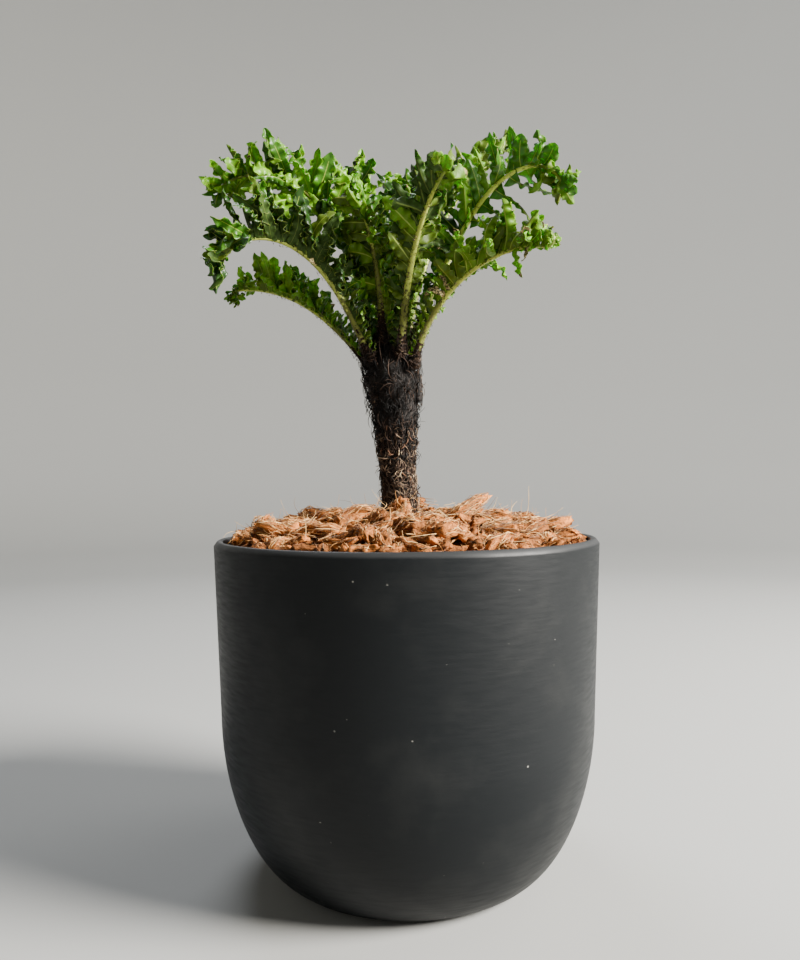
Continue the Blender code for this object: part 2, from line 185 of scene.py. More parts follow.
# Leaflets past this share of a frond have at least about the length of a tip's
TIP_FROM = 0.85
# Rows of a leaflet: how many for each wave of its margin, and the fewest
WAVE_ROWS = 8.0
LEAST_ROWS = 10
# Columns of a leaflet: how far out those of a half stand, in shares of its width, and the thickness at all
LEAF_MARGINS = (0.045, 0.42, 0.76, 1.0)
LEAF_THICKNESS = (0.00012, 0.00013, 0.00014, 0.0003, 0.0003, 0.00014, 0.00013, 0.00012)

# The photograph's camera, found from the curve of the rim: focal length and height of the picture in pixels,
# place in metres, and turns about Z, X and Y in radians
PHOTO_FOCAL = 801.0
PHOTO_HEIGHT = 960.0
CAMERA_PLACE = (0.0, -0.3412, 0.1588)
CAMERA_TURNS = ((0.0071, "Z"), (0.0052, "X"), (0.0095, "Y"))


def linear(colour):
    """A colour given as sRGB hex, as linear red, green and blue."""
    channels = [int(colour[start : start + 2], 16) / 255.0 for start in (1, 3, 5)]
    return [c / 12.92 if c <= 0.04045 else ((c + 0.055) / 1.055) ** 2.4 for c in channels]


def colour_property(name, description, colour):
    """A colour that a user may change, given as sRGB hex."""
    return FloatVectorProperty(
        name=name, description=description, subtype="COLOR", size=3, min=0.0, max=1.0, default=linear(colour)
    )


def length_property(name, description, default):
    """A length that a user may change, in metres."""
    return FloatProperty(
        name=name, description=description, subtype="DISTANCE", unit="LENGTH", min=0.0, default=default
    )


def count_property(name, description, default):
    """A number of like things that a user may change."""
    return IntProperty(name=name, description=description, min=0, default=default)


class FernPotSettings(bpy.types.PropertyGroup):
    """Sizes and colours of the pot and of what fills it."""

    rim_radius: length_property("Rim Radius", "Outer radius of the pot at its rim", 0.080)
    height: length_property("Height", "Height of the pot", 0.1364)
    wall: length_property("Wall", "Thickness of the pot's wall", 0.0038)
    glaze: colour_property("Glaze", "Matt black engobe on the pot", "#0c0f11")
    dust: colour_property("Dust", "Pale dust and scuffs on the pot", "#8b8a84")
    # The paler engobe on the rim is partly wear and partly a painted highlight
    rim_wear_and_highlight: colour_property("Rim Wear and Highlight", "Paler engobe on the chamfer: wear and a painted highlight", "#464748")
    soil: colour_property("Medium", "Damp potting medium under the husk", "#2a1f18")


class FernMulchSettings(bpy.types.PropertyGroup):
    """Sizes and colours of the coconut husk."""

    small_chunks: count_property("Small Chunks", "Chunks of husk between the large ones", 300)
    strands: count_property("Strands", "Fibres on each large chunk of husk", 96)
    loose_fibres: count_property("Loose Fibres", "Fibres that stick out of the mulch", 420)
    fibre_radius: length_property("Fibre Radius", "Radius of one coir fibre", 0.00014)
    pith: colour_property("Pith", "Orange-brown pith of the husk", "#ad6a33")
    # The recess colour is painted shade, for the gaps between the chunks of husk
    recess_shade: colour_property("Recess Shade", "Painted shade in the gaps between chunks of husk", "#2c160d")
    coir: colour_property("Coir", "Orange-brown coir fibre", "#c18a4e")
    pale_coir: colour_property("Pale Coir", "Light tan coir fibre", "#d8ae72")


class FernTrunkSettings(bpy.types.PropertyGroup):
    """Sizes and colours of the trunk and its hair."""

    hairs: count_property("Hairs", "Hairs on the trunk", 3600)
    flakes: count_property("Flakes", "Flakes and short fibres on the lower trunk", 2400)
    frond_hairs: count_property("Frond Hairs", "Hairs on the foot of each frond", 680)
    hair_length: length_property("Hair Length", "Length of a long hair", 0.0105)
    hair_radius: length_property("Hair Radius", "Radius of one hair", 0.00021)
    bark: colour_property("Bark", "Dark bark between the hairs", "#140f0c")
    black_hair: colour_property("Black Hair", "Hair on the upper trunk", "#080706")
    brown_hair: colour_property("Brown Hair", "Hair on the lower trunk", "#3d2f26")
    pale_fibre: colour_property("Bleached Fibre", "Bleached fibres on the lower trunk", "#c4b08e")
    rust_fibre: colour_property("Rust Fibre", "Rust-brown fibres on the lower trunk", "#6a4a35")
    tan_hair: colour_property("Tan Hair", "Dead fibres on the lower trunk", "#74624f")


class FernFrondSettings(bpy.types.PropertyGroup):
    """Sizes and colours of the fronds."""

    leaflet_spacing: length_property("Leaflet Spacing", "Distance between leaflets up the frond", 0.0038)
    foot_spacing: length_property("Foot Spacing", "Distance between leaflets at the frond's foot", 0.0015)
    leaflet_width: length_property("Leaflet Width", "Width of a long leaflet", 0.0073)
    wave_length: length_property("Wave Length", "Length of one wave of a crisped margin", 0.0046)
    ruffle_angle: FloatProperty(
        name="Ruffle Angle", description="How steeply a crisped margin stands, in degrees", min=0, default=76
    )
    bright: colour_property("Bright", "Young leaf with light through it", "#527e10")
    fresh: colour_property("Fresh", "Fresh leaf", "#30580c")
    deep: colour_property("Deep", "Older, shaded leaf", "#1c380b")
    under_pale: colour_property("Pale Underside", "Underside of a fresh leaf", "#445714")
    under_grey: colour_property("Grey Underside", "Underside of an older leaf", "#2c3f16")
    midrib: colour_property("Midrib", "Pale midrib of a leaflet", "#7a8b34")
    browned: colour_property("Browned", "Dried leaf tip", "#8f8258")
    rib: colour_property("Rib", "Yellow-green rib of a frond", "#929e3c")
    rib_foot: colour_property("Rib Foot", "Brown, scaly foot of a rib", "#20150d")


def add_node(tree, kind, settings=None, values=None, links=None):
    """Adds a node with its settings, its socket values and the sockets that are linked into it."""
    made = tree.nodes.new(kind)
    for name, value in (settings or {}).items():
        setattr(made, name, value)
    for name, value in (values or {}).items():
        made.inputs[name].default_value = value
    for name, source in (links or {}).items():
        tree.links.new(source, made.inputs[name])
    return made


def new_material(name, colour, roughness, specular):
    """A material with one Principled shader; returns it with its tree and its shader."""
    made = bpy.data.materials.new(name)
    made.use_nodes = True
    made.node_tree.nodes.clear()
    tree = made.node_tree
    shader = add_node(
        tree,
        "ShaderNodeBsdfPrincipled",
        values={"Base Color": (*colour, 1.0), "Roughness": roughness, "Specular IOR Level": specular},
    )
    add_node(tree, "ShaderNodeOutputMaterial", links={"Surface": shader.outputs["BSDF"]})
    return made, tree, shader


def add_relief(tree, shader, pattern_mm, height_mm, detail):
    """Roughens a surface with noise of this grain, standing this high."""
    place = add_node(tree, "ShaderNodeTexCoord")
    grain = add_node(
        tree,
        "ShaderNodeTexNoise",
        values={"Scale": 1000.0 / pattern_mm, "Detail": detail},
        links={"Vector": place.outputs["Object"]},
    )
    bump = add_node(
        tree,
        "ShaderNodeBump",
        values={"Strength": 1.0, "Distance": height_mm / 1000.0},
        links={"Height": grain.outputs["Fac"]},
    )
    tree.links.new(bump.outputs["Normal"], shader.inputs["Normal"])


def add_blotches(tree, shader, dark, pale, pattern_mm, low, high):
    """Mottles a surface from one colour to another, in patches of this size."""
    place = add_node(tree, "ShaderNodeTexCoord")
    patches = add_node(
        tree,
        "ShaderNodeTexNoise",
        values={"Scale": 1000.0 / pattern_mm, "Detail": 5.0, "Roughness": 0.7},
        links={"Vector": place.outputs["Object"]},
    )
    cover = add_node(
        tree,
        "ShaderNodeMapRange",
        values={"From Min": low, "From Max": high},
        links={"Value": patches.outputs["Fac"]},
    )
    mottled = add_node(
        tree,
        "ShaderNodeMix",
        {"data_type": "RGBA"},
        values={6: (*dark, 1.0), 7: (*pale, 1.0)},
        links={0: cover.outputs["Result"]},
    )
    tree.links.new(mottled.outputs[2], shader.inputs["Base Color"])


def shade(colour, share):
    """A linear colour made darker, or paler where the share is over 1."""
    return [min(1.0, value * share) for value in colour]


def blend(colour, other, share):
    """A linear colour part of the way to another."""
    return [a + (b - a) * share for a, b in zip(colour, other)]


def grained_material(name, colour, roughness, specular, relief, shades, patches):
    """A rough, mottled material; returns it with its shader.

    Its relief is given by its grain in mm, its height in mm and its detail. Its mottling is given by how dark
    and how pale its own colour gets, the size of the patches in mm, and the noise values between which they
    change.
    """
    made, tree, shader = new_material(name, colour, roughness, specular)
    dark, pale = (shade(colour, share) for share in shades)
    add_relief(tree, shader, *relief)
    add_blotches(tree, shader, dark, pale, *patches)
    return made, shader


def unit(vectors):
    """Arrays of vectors, each made one long."""
    return vectors / (np.linalg.norm(vectors, axis=-1, keepdims=True) + 1e-12)


def tube_faces(stations, sides):
    """Quads round a tube of rings of points, ring after ring."""
    ring = (np.arange(stations - 1) * sides)[:, None]
    low = ring + np.arange(sides)
    beside = ring + (np.arange(sides) + 1) % sides
    return np.stack([low, beside, beside + sides, low + sides], axis=-1).reshape(-1, 4)


def mesh_piece(name, points, faces, materials, looks):
    """A smooth object from arrays: points, faces (one array for each number of corners) and their looks."""
    mesh = bpy.data.meshes.new(name)
    mesh.vertices.add(len(points))
    mesh.vertices.foreach_set("co", np.asarray(points, np.float32).ravel())
    corners = np.concatenate([group.ravel() for group in faces])
    totals = np.concatenate([np.full(len(group), group.shape[1]) for group in faces])
    mesh.loops.add(len(corners))
    mesh.loops.foreach_set("vertex_index", corners.astype(np.int32))
    mesh.polygons.add(len(totals))
    starts = np.concatenate([[0], np.cumsum(totals)[:-1]])
    mesh.polygons.foreach_set("loop_start", starts.astype(np.int32))
    mesh.polygons.foreach_set("loop_total", totals.astype(np.int32))
    for material in materials:
        mesh.materials.append(material)
    mesh.polygons.foreach_set("material_index", np.asarray(looks, np.int32))
    mesh.polygons.foreach_set("use_smooth", np.full(len(totals), True))
    mesh.update(calc_edges=True)
    mesh.validate()
    made = bpy.data.objects.new(name, mesh)
    bpy.context.collection.objects.link(made)
    return made


def stand_for(piece, slot, *nodes):
    """Puts a piece in place of its solids and hides them; the slot is not used."""
    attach(piece, "root")
    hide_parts(*nodes)


def turned_piece(name, profile, steps):
    """A solid of revolution: a disc whose edge is drawn up through radii and heights, then closed."""
    bpy.ops.object.select_all(action="DESELECT")
    (radius, height), rest = profile[0], profile[1:]
    bpy.ops.mesh.primitive_circle_add(
        vertices=steps, radius=radius, fill_type="TRIFAN", location=(0, 0, height)
    )
    made = bpy.context.object
    made.name = name
    made.data.name = name
    bpy.ops.object.transform_apply(location=True, rotation=True, scale=True)
    bpy.ops.object.mode_set(mode="EDIT")
    bpy.ops.mesh.select_mode(type="EDGE")
    bpy.ops.mesh.select_all(action="SELECT")
    bpy.ops.mesh.region_to_loop()
    for next_radius, next_height in rest:
        bpy.ops.mesh.extrude_edges_move(TRANSFORM_OT_translate={"value": (0, 0, next_height - height)})
        ratio = next_radius / radius
        bpy.ops.transform.resize(value=(ratio, ratio, 1.0), center_override=(0, 0, next_height))
        radius, height = next_radius, next_height
    bpy.ops.mesh.merge(type="CENTER")
    bpy.ops.mesh.select_all(action="SELECT")
    bpy.ops.mesh.normals_make_consistent(inside=False)
    bpy.ops.object.mode_set(mode="OBJECT")
    return made


def smooth_shade(piece, degrees):
    """Shades a piece smooth, apart from its edges sharper than this."""
    bpy.ops.object.select_all(action="DESELECT")
    piece.select_set(True)
    bpy.context.view_layer.objects.active = piece
    bpy.ops.object.shade_smooth_by_angle(angle=math.radians(degrees))


# Tubes: many thin strands at once


def strand_mesh(paths, radii, seed, sides=3):
    """Points, quads and caps of closed tubes round paths, which are arrays of strands by stations by 3."""
    count, stations, _ = paths.shape
    draw = np.random.default_rng(seed)
    along = unit(np.gradient(paths, axis=1))
    aside = draw.normal(size=(count, 1, 3))
    first = unit(np.cross(along, np.broadcast_to(aside, along.shape)))
    second = np.cross(along, first)
    turn = (np.arange(sides) * math.tau / sides)[:, None]
    ring = first[:, :, None, :] * np.cos(turn) + second[:, :, None, :] * np.sin(turn)
    points = (paths[:, :, None, :] + ring * radii[:, :, None, None]).reshape(-1, 3)
    start = (np.arange(count) * stations * sides)[:, None]
    quads = (start[:, :, None] + tube_faces(stations, sides)).reshape(-1, 4)
    foot = start + np.arange(sides)[::-1]
    tip = start + (stations - 1) * sides + np.arange(sides)
    return points, quads, np.concatenate([foot, tip])


def strand_piece(name, paths, radii, kinds, materials, seed, sides=3):
    """One object of many strands, each in the material of its kind."""
    points, quads, caps = strand_mesh(paths, radii, seed, sides)
    per_strand = (paths.shape[1] - 1) * sides
    looks = np.concatenate([np.repeat(kinds, per_strand), kinds, kinds])
    return mesh_piece(name, points, [quads, caps], materials, looks)


# Pot


def foot_curve(settings, steps=24):
    """Radii and heights of the pot's rounded foot, from its flat base up to the straight wall."""
    wall_radius = settings.rim_radius - WALL_TAPER * (settings.height - CHAMFER_HEIGHT - FOOT_HEIGHT)
    curve = [(BASE_RADIUS, 0.0)]
    for step in range(1, steps):
        turn = math.radians(90.0 * step / steps)
        across = math.sin(turn) ** (2.0 / FOOT_ROUNDNESS)
        down = math.cos(turn) ** (2.0 / FOOT_ROUNDNESS)
        curve.append((BASE_RADIUS + (wall_radius - BASE_RADIUS) * across, FOOT_HEIGHT * (1.0 - down)))
    return curve + [(wall_radius, FOOT_HEIGHT)]


def outer_radius(settings, height):
    """The pot's outer radius at a height."""
    curve = foot_curve(settings) + [(settings.rim_radius, settings.height - CHAMFER_HEIGHT)]
    for (low_radius, low), (high_radius, high) in zip(curve, curve[1:]):
        if height <= high:
            return low_radius + (high_radius - low_radius) * (height - low) / (high - low)
    return settings.rim_radius


def pot_profile(settings):
    """Radii and heights round the pot's wall: up the outside, over chamfer and lip, and down the inside."""
    top = settings.height
    shoulder = top - CHAMFER_HEIGHT
    lip_radius = settings.rim_radius - CHAMFER_WIDTH
    inner_rim = settings.rim_radius - settings.wall
    outside = foot_curve(settings)
    edge = EDGE_ROUND
    rim = [
        (settings.rim_radius - edge * 0.3, shoulder - edge),
        (settings.rim_radius - edge * 0.35, shoulder + edge * 0.5),
        (lip_radius + edge * 0.6, top - edge * 0.6),
        (lip_radius - edge * 0.4, top),
        (inner_rim + LIP_ROUND + edge * 0.4, top),
        (inner_rim + edge * 0.3, top - edge * 0.8),
        (inner_rim - 0.0001, shoulder),
    ]
    above_floor = [(radius, height) for radius, height in reversed(outside) if height > FLOOR + 0.004]
    inside = [(radius - settings.wall, height) for radius, height in above_floor]
    inner = inside[-1][0]
    inside += [(inner - 0.003, FLOOR + 0.0012), (inner - 0.008, FLOOR), (0.002, FLOOR)]
    start = [(BASE_RADIUS * 0.5, 0.0), (BASE_RADIUS - 0.0012, 0.0), (BASE_RADIUS - 0.0002, 0.0002)]
    foot = [(radius, height) for radius, height in outside if height > 0.0006]
    return start + foot + rim + inside


def engobe_patterns(tree, place):
    """Clouds of 38 mm, streaks that run round the pot, and specks 6.5 mm apart."""
    clouds = add_node(
        tree,
        "ShaderNodeTexNoise",
        values={"Scale": 1000.0 / 38.0, "Detail": 5.0, "Roughness": 0.62},
        links={"Vector": place},
    )
    # Noise of 9 mm, pressed flat seven times, gives the streaks
    pressed = add_node(tree, "ShaderNodeMapping", values={"Scale": (1.0, 1.0, 7.0)}, links={"Vector": place})
    streaks = add_node(
        tree,
        "ShaderNodeTexNoise",
        values={"Scale": 1000.0 / 9.0, "Detail": 4.0},
        links={"Vector": pressed.outputs["Vector"]},
    )
    specks = add_node(
        tree,
        "ShaderNodeTexVoronoi",
        values={"Scale": 1000.0 / 6.5, "Randomness": 1.0},
        links={"Vector": place},
    )
    return clouds.outputs["Fac"], streaks.outputs["Fac"], specks.outputs["Distance"]


def engobe_material(settings):
    """Matt black engobe on turned stoneware: soft, and grey where light grazes it.

    Turning has left faint streaks round it. Dust hazes it in clouds of 38 mm and lies on it in a few pale
    specks under a millimetre wide. The chamfer is paler: partly rubbed by handling, partly a painted
    highlight.
    """
    made, tree, shader = new_material(
        "Matt Black Engobe on Turned Stoneware", settings.glaze, roughness=0.46, specular=0.17
    )
    place = add_node(tree, "ShaderNodeTexCoord").outputs["Object"]
    clouds, streaks, specks = engobe_patterns(tree, place)
    height = add_node(tree, "ShaderNodeSeparateXYZ", links={"Vector": place})
    chamfer = settings.height - CHAMFER_HEIGHT
    shares = {}
    for name, source, low, high, low_share, high_share in (
        ("haze", clouds, 0.5, 0.85, 0.0, 0.035),
        ("speck", specks, 0.035, 0.075, 1.0, 0.0),
        ("kept speck", streaks, 0.56, 0.66, 0.0, 0.75),
        # The paler band on the chamfer: partly wear, partly a painted highlight along the rim
        ("rim_wear_and_highlight", height.outputs["Z"], chamfer, chamfer + 0.0009, 0.0, 0.28),
        ("roughness", streaks, 0.35, 0.7, 0.42, 0.54),
    ):
        made_range = add_node(
            tree,
            "ShaderNodeMapRange",
            values={"From Min": low, "From Max": high, "To Min": low_share, "To Max": high_share},
            links={"Value": source},
        )
        shares[name] = made_range.outputs["Result"]
    few = add_node(
        tree, "ShaderNodeMath", {"operation": "MULTIPLY"}, links={0: shares["speck"], 1: shares["kept speck"]}
    )
    dusty = add_node(
        tree, "ShaderNodeMath", {"operation": "MAXIMUM"}, links={0: few.outputs[0], 1: shares["haze"]}
    )
    colour = add_node(
        tree,
        "ShaderNodeMix",
        {"data_type": "RGBA"},
        values={6: (*settings.glaze, 1.0), 7: (*settings.dust, 1.0)},
        links={0: dusty.outputs[0]},
    )
    worn_and_highlit = add_node(
        tree,
        "ShaderNodeMix",
        {"data_type": "RGBA"},
        values={7: (*settings.rim_wear_and_highlight, 1.0)},
        links={0: shares["rim_wear_and_highlight"], 6: colour.outputs[2]},
    )
    bump = add_node(
        tree,
        "ShaderNodeBump",
        values={"Strength": 0.25, "Distance": 0.0002},
        links={"Height": streaks},
    )
    tree.links.new(worn_and_highlit.outputs[2], shader.inputs["Base Color"])
    tree.links.new(shares["roughness"], shader.inputs["Roughness"])
    tree.links.new(bump.outputs["Normal"], shader.inputs["Normal"])
    return made


class FERN_OT_pot(bpy.types.Operator):
    """Turns the pot, with its rounded foot, chamfered rim and matt black finish"""

    bl_idname = "fern.pot"
    bl_label = "Pot"

    def execute(self, context):
        settings = context.scene.fern_pot
        pot = turned_piece("pot_turned", pot_profile(settings), steps=160)
        smooth_shade(pot, degrees=40)
        pot.data.materials.append(engobe_material(settings))
        stand_for(pot, "pot_ceramic", "pot")
        return {"FINISHED"}


def peat_material(colour):
    """Damp peat and composted bark: matt, and mottled by crumbs of 2 mm."""
    return grained_material(
        "Damp Peat and Composted Bark",
        colour,
        roughness=0.9,
        specular=0.3,
        relief=(2.0, 0.6, 6.0),
        shades=(0.45, 1.6),
        patches=(2.0, 0.3, 0.7),
    )[0]


class FERN_OT_medium(bpy.types.Operator):
    """Gives the potting medium under the husk its damp, crumbly look"""

    bl_idname = "fern.medium"
    bl_label = "Growing Medium"

    def execute(self, context):
        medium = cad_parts["growing_medium"]
        medium.data.materials.clear()
        medium.data.materials.append(peat_material(context.scene.fern_pot.soil))
        return {"FINISHED"}


# Husk mulch


def bed_height(settings, radius):
    """Height of the bed of husk, a low mound round the trunk."""
    share = min(1.0, radius / (outer_radius(settings, BED_EDGE) - settings.wall))
    return BED_EDGE + (BED_CROWN - BED_EDGE) * (1.0 - share**2)


def bed_reach(pot):
    """How far out the husk reaches: a gap short of the pot's wall."""
    return outer_radius(pot, BED_EDGE) - pot.wall - GAP


def round_middle(radius, around, height):
    """A place at a distance from the middle, an angle round it and a height."""
    return Vector((radius * math.cos(around), radius * math.sin(around), height))


# The bed: how far in it reaches, its rings, how far it lies below the chunks' middles, and how high, fine and
# low its crumbs are
BED_INNER = 0.009
BED_RINGS = 30
BED_SINK = 0.0012
CRUMB_HEIGHT = 0.0022
CRUMB_FINENESS = 260.0
CRUMB_SINK = 0.0006
# Looks of the husk, as its materials are numbered, and how often large and small chunks have them; the small
# ones, lying low between the large ones, are mostly dark: painted shade
HUSK, DARK_HUSK, BRIGHT_HUSK = range(3)
LARGE_LOOKS = (HUSK, HUSK, HUSK, DARK_HUSK, BRIGHT_HUSK)
SMALL_LOOKS = (HUSK, HUSK, DARK_HUSK, DARK_HUSK, DARK_HUSK)
# Rings of points down a chunk, and points round it
LARGE_FINENESS = (10, 30)
SMALL_FINENESS = (8, 22)
# Shares of plain, pale, shaded and red-brown coir over large chunks, over small ones and in the loose fibres
LARGE_COIR = (0.34, 0.14, 0.3, 0.22)
# The small chunks take more dark coir: painted shade, as they lie low between the large ones
SMALL_COIR = (0.24, 0.08, 0.42, 0.26)
LOOSE_COIR = (0.36, 0.42, 0.12, 0.1)
# Loose fibres: points down each, and the ranges of their length and of their foot's height over the bed
LOOSE_STATIONS = 9
LOOSE_LENGTHS = (0.005, 0.016)
LOOSE_LIFTS = (0.0005, 0.0042)

Chunk = namedtuple("Chunk", "size turn place")


def large_chunks(pot):
    """The torn blocks of husk that the solid has, in the same order and places."""
    draw = random.Random(SEED)
    reach = bed_reach(pot)
    chunks = []
    for count in range(CHUNK_COUNT):
        size = [draw.uniform(*sizes) for sizes in CHUNK_SIZES]
        half = size[0] / 2.0 + CHUNK_MARGIN
        around = count * GOLDEN_TURN + draw.uniform(-CHUNK_STRAY, CHUNK_STRAY)
        radius = BED_HOLE + half + (reach - BED_HOLE - 2.0 * half) * math.sqrt((count + 0.5) / CHUNK_COUNT)
        height = bed_height(pot, radius) + size[2] * draw.uniform(0.0, CHUNK_LIFT)
        turn = Quaternion(UP, draw.uniform(0.0, math.tau))
        for axis in (Vector((1, 0, 0)), Vector((0, 1, 0))):
            turn = turn @ Quaternion(axis, math.radians(draw.uniform(-CHUNK_TILT, CHUNK_TILT)))
        # The solid draws the pull of its corners here, so that the next block needs the same draws
        for _ in range(CHUNK_CORNER_VALUES):
            draw.uniform(*CHUNK_PULL)
        chunks.append(Chunk(size, turn, round_middle(radius, around, height)))
    return chunks


# Chunks that stand out of the mulch: middle and size in mm, then heading, pitch and roll in degrees
STANDING_CHUNKS = (
    ((-2.0, -16.5, 149.0), (9.5, 8.0, 7.5), 30, 68, 10),
    ((25.5, -6.0, 148.6), (23.0, 7.0, 5.5), 8, 24, 12),
    ((33.0, -20.0, 144.0), (19.0, 9.0, 6.5), -14, 6, -20),
    ((-22.0, -22.0, 145.6), (18.0, 10.0, 8.0), 24, 22, -14),
    ((-31.0, -14.0, 145.8), (16.0, 9.0, 7.0), -20, 10, 18),
    ((-59.5, -12.0, 141.6), (12.0, 7.5, 6.0), 60, 48, 0),
    ((-48.0, -30.0, 140.0), (15.0, 7.5, 6.0), -35, 10, 20),
    ((58.0, -14.0, 138.6), (15.0, 8.0, 6.0), 20, 18, -10),
    ((8.0, -30.0, 144.0), (20.0, 9.5, 6.5), -8, 4, 15),
    ((-8.0, -42.0, 141.5), (15.0, 9.0, 7.0), 50, 8, 0),
    ((44.0, 6.0, 142.0), (14.0, 8.0, 6.5), 75, 20, 10),
    ((2.0, 18.5, 149.2), (14.0, 8.0, 6.5), -12, 25, 12),
    ((-67.0, -14.0, 137.6), (10.0, 7.0, 5.5), 80, 25, 0),
    ((-65.5, 7.0, 138.0), (11.0, 7.0, 5.5), -60, 10, 10),
    ((63.0, -24.0, 138.0), (12.0, 7.5, 6.0), -30, 14, 0),
    ((66.0, 5.0, 137.0), (11.0, 7.0, 6.0), 70, 12, 0),
)


def standing_chunks():
    """The chunks that stand out, turned and placed."""
    chunks = []
    for place, size, heading, pitch, roll in STANDING_CHUNKS:
        turn = Quaternion(UP, math.radians(heading)) @ Quaternion((0, -1, 0), math.radians(pitch))
        turn = turn @ Quaternion((1, 0, 0), math.radians(roll))
        chunks.append(Chunk([side / 1000.0 for side in size], turn, Vector(place) / 1000.0))
    return chunks


# Smaller chunks: the ranges of their length, width and thickness, and the turn from one to the next
SMALL_SIZES = ((0.006, 0.013), (0.0035, 0.0065), (0.003, 0.005))
SMALL_TURN = 2.399963


def small_chunks(pot, count_all):
    """Smaller pieces of husk that fill the bed between the large ones."""
    draw = random.Random(SEED + 5)
    reach = bed_reach(pot)
    chunks = []
    for count in range(count_all):
        size = [draw.uniform(*sizes) for sizes in SMALL_SIZES]
        half = size[0] / 2.0
        around = count * SMALL_TURN + draw.uniform(-0.5, 0.5)
        outward = ((count + 0.5) / count_all) ** 0.47
        radius = BED_HOLE + half * 0.4 + (reach - BED_HOLE - 1.1 * half) * outward
        height = bed_height(pot, radius) + size[2] * draw.uniform(-0.25, 0.25)
        turn = Quaternion(UP, draw.uniform(0.0, math.tau))
        axis = Vector((draw.uniform(-1, 1), draw.uniform(-1, 1), 0.01)).normalized()
        turn = turn @ Quaternion(axis, math.radians(draw.uniform(0, 45)))
        chunks.append(Chunk(size, turn, round_middle(radius, around, height)))
    return chunks


def chunk_surface(chunk, number, turn, share, proud):
    """Points on a chunk at angles round it and shares down it: a blocky, torn, bent bundle of fibre."""
    draw = np.random.default_rng(SEED * 1000 + number)
    bow = draw.uniform(-0.3, 0.3, 2)
    waves = draw.uniform(0.0, math.tau, 6)
    skew = draw.uniform(-0.25, 0.25, 2)
    powers = draw.uniform(3.0, 7.0)
    square = (np.abs(np.cos(turn)) ** powers + np.abs(np.sin(turn)) ** powers) ** (-1.0 / powers)
    lumps = 1.0
    for height, down, sideways, wave in zip((0.12, 0.08, 0.06), (2.0, 4.5, 3.0), (2.0, -3.0, 7.0), waves):
        lumps = lumps + height * np.sin(down * share + sideways * turn + wave)
    uneven = 1.0 + 0.9 * np.sin(turn * 2.0 + waves[3])
    taper = np.clip(1.0 - 0.32 * np.abs(share) ** 4.0 * uneven, 0.2, 1.2)
    length, width, thickness = chunk.size
    wide = width * 0.5 * square * lumps * taper * proud * 0.92
    high = thickness * 0.44 * square * lumps * taper * proud * 0.92
    ragged = 0.13 * np.sin(4.0 * turn + waves[4]) * share**3
    x = length * 0.5 * (share * 0.9 + ragged)
    y = np.cos(turn) * wide + bow[0] * length * 0.5 * (share**2 - 0.3) + skew[0] * x
    z = np.sin(turn) * high + abs(bow[1]) * length * 0.4 * (0.3 - share**2) + skew[1] * x * 0.5
    turned = np.array(chunk.turn.to_matrix())
    return np.stack(np.broadcast_arrays(x, y, z), axis=-1) @ turned.T + np.array(chunk.place)


def chunk_mesh(chunk, number, stations, sides):
    """Points, quads and caps of one chunk's core, furrowed between its bundles of fibre."""
    draw = np.random.default_rng(SEED * 3000 + number)
    turn = np.broadcast_to(np.arange(sides) * math.tau / sides, (stations, sides))
    share = np.broadcast_to(np.linspace(-1.0, 1.0, stations)[:, None], (stations, sides))
    furrow = 0.93 + draw.uniform(-0.28, 0.08, sides) + draw.uniform(-0.1, 0.08, (stations, sides))
    ends = (np.abs(share) > 0.99) * np.sign(share)
    torn = share + draw.uniform(-0.12, 0.06, (stations, sides)) * ends
    points = chunk_surface(chunk, number, turn, torn, furrow).reshape(-1, 3)
    caps = np.stack([np.arange(sides)[::-1], (stations - 1) * sides + np.arange(sides)])
    return points, tube_faces(stations, sides), caps


# How thick a fibre on a chunk is from one end to the other
STRAND_TAPER = (0.35, 0.9, 1.0, 1.0, 0.9, 0.35)


def chunk_strands(chunk, number, count):
    """Fibres that lie along a chunk's faces and fray at its ends."""
    draw = np.random.default_rng(SEED * 2000 + number)
    stations = len(STRAND_TAPER)
    middle = draw.uniform(-0.8, 0.8, (count, 1))
    half = draw.uniform(0.15, 0.62, (count, 1))
    share = middle + half * np.linspace(-1.0, 1.0, stations)
    turn = draw.uniform(0.0, math.tau, (count, 1)) + draw.normal(0.0, 0.75, (count, 1)) * (share - middle)
    past = np.clip(np.abs(share) - 0.95, 0.0, 1.0)
    proud = 1.0 + draw.uniform(-0.02, 0.1, (count, 1)) + draw.normal(0.0, 0.035, (count, stations))
    proud += past * draw.uniform(0.0, 1.6, (count, 1))
    return chunk_surface(chunk, number, turn, share, proud) + draw.normal(0.0, 0.00018, (count, stations, 3))


def fibre_material(name, colour, roughness=0.75, sheen=0.12):
    """A dry plant fibre: matt, with a faint sheen along its edge."""
    made, _, shader = new_material(name, colour, roughness, specular=0.12)
    shader.inputs["Sheen Weight"].default_value = sheen
    return made


def crumbled_pith_material(husk):
    """Crumbled coconut pith: matt, dark red-brown as painted shade, with orange-brown grains of a millimetre.
    """
    made, tree, shader = new_material("Crumbled Coconut Pith", husk.recess_shade, roughness=0.95, specular=0.2)
    add_relief(tree, shader, pattern_mm=1.4, height_mm=1.2, detail=5.0)
    add_blotches(tree, shader, husk.recess_shade, shade(husk.pith, 0.85), pattern_mm=2.4, low=0.42, high=0.6)
    return made


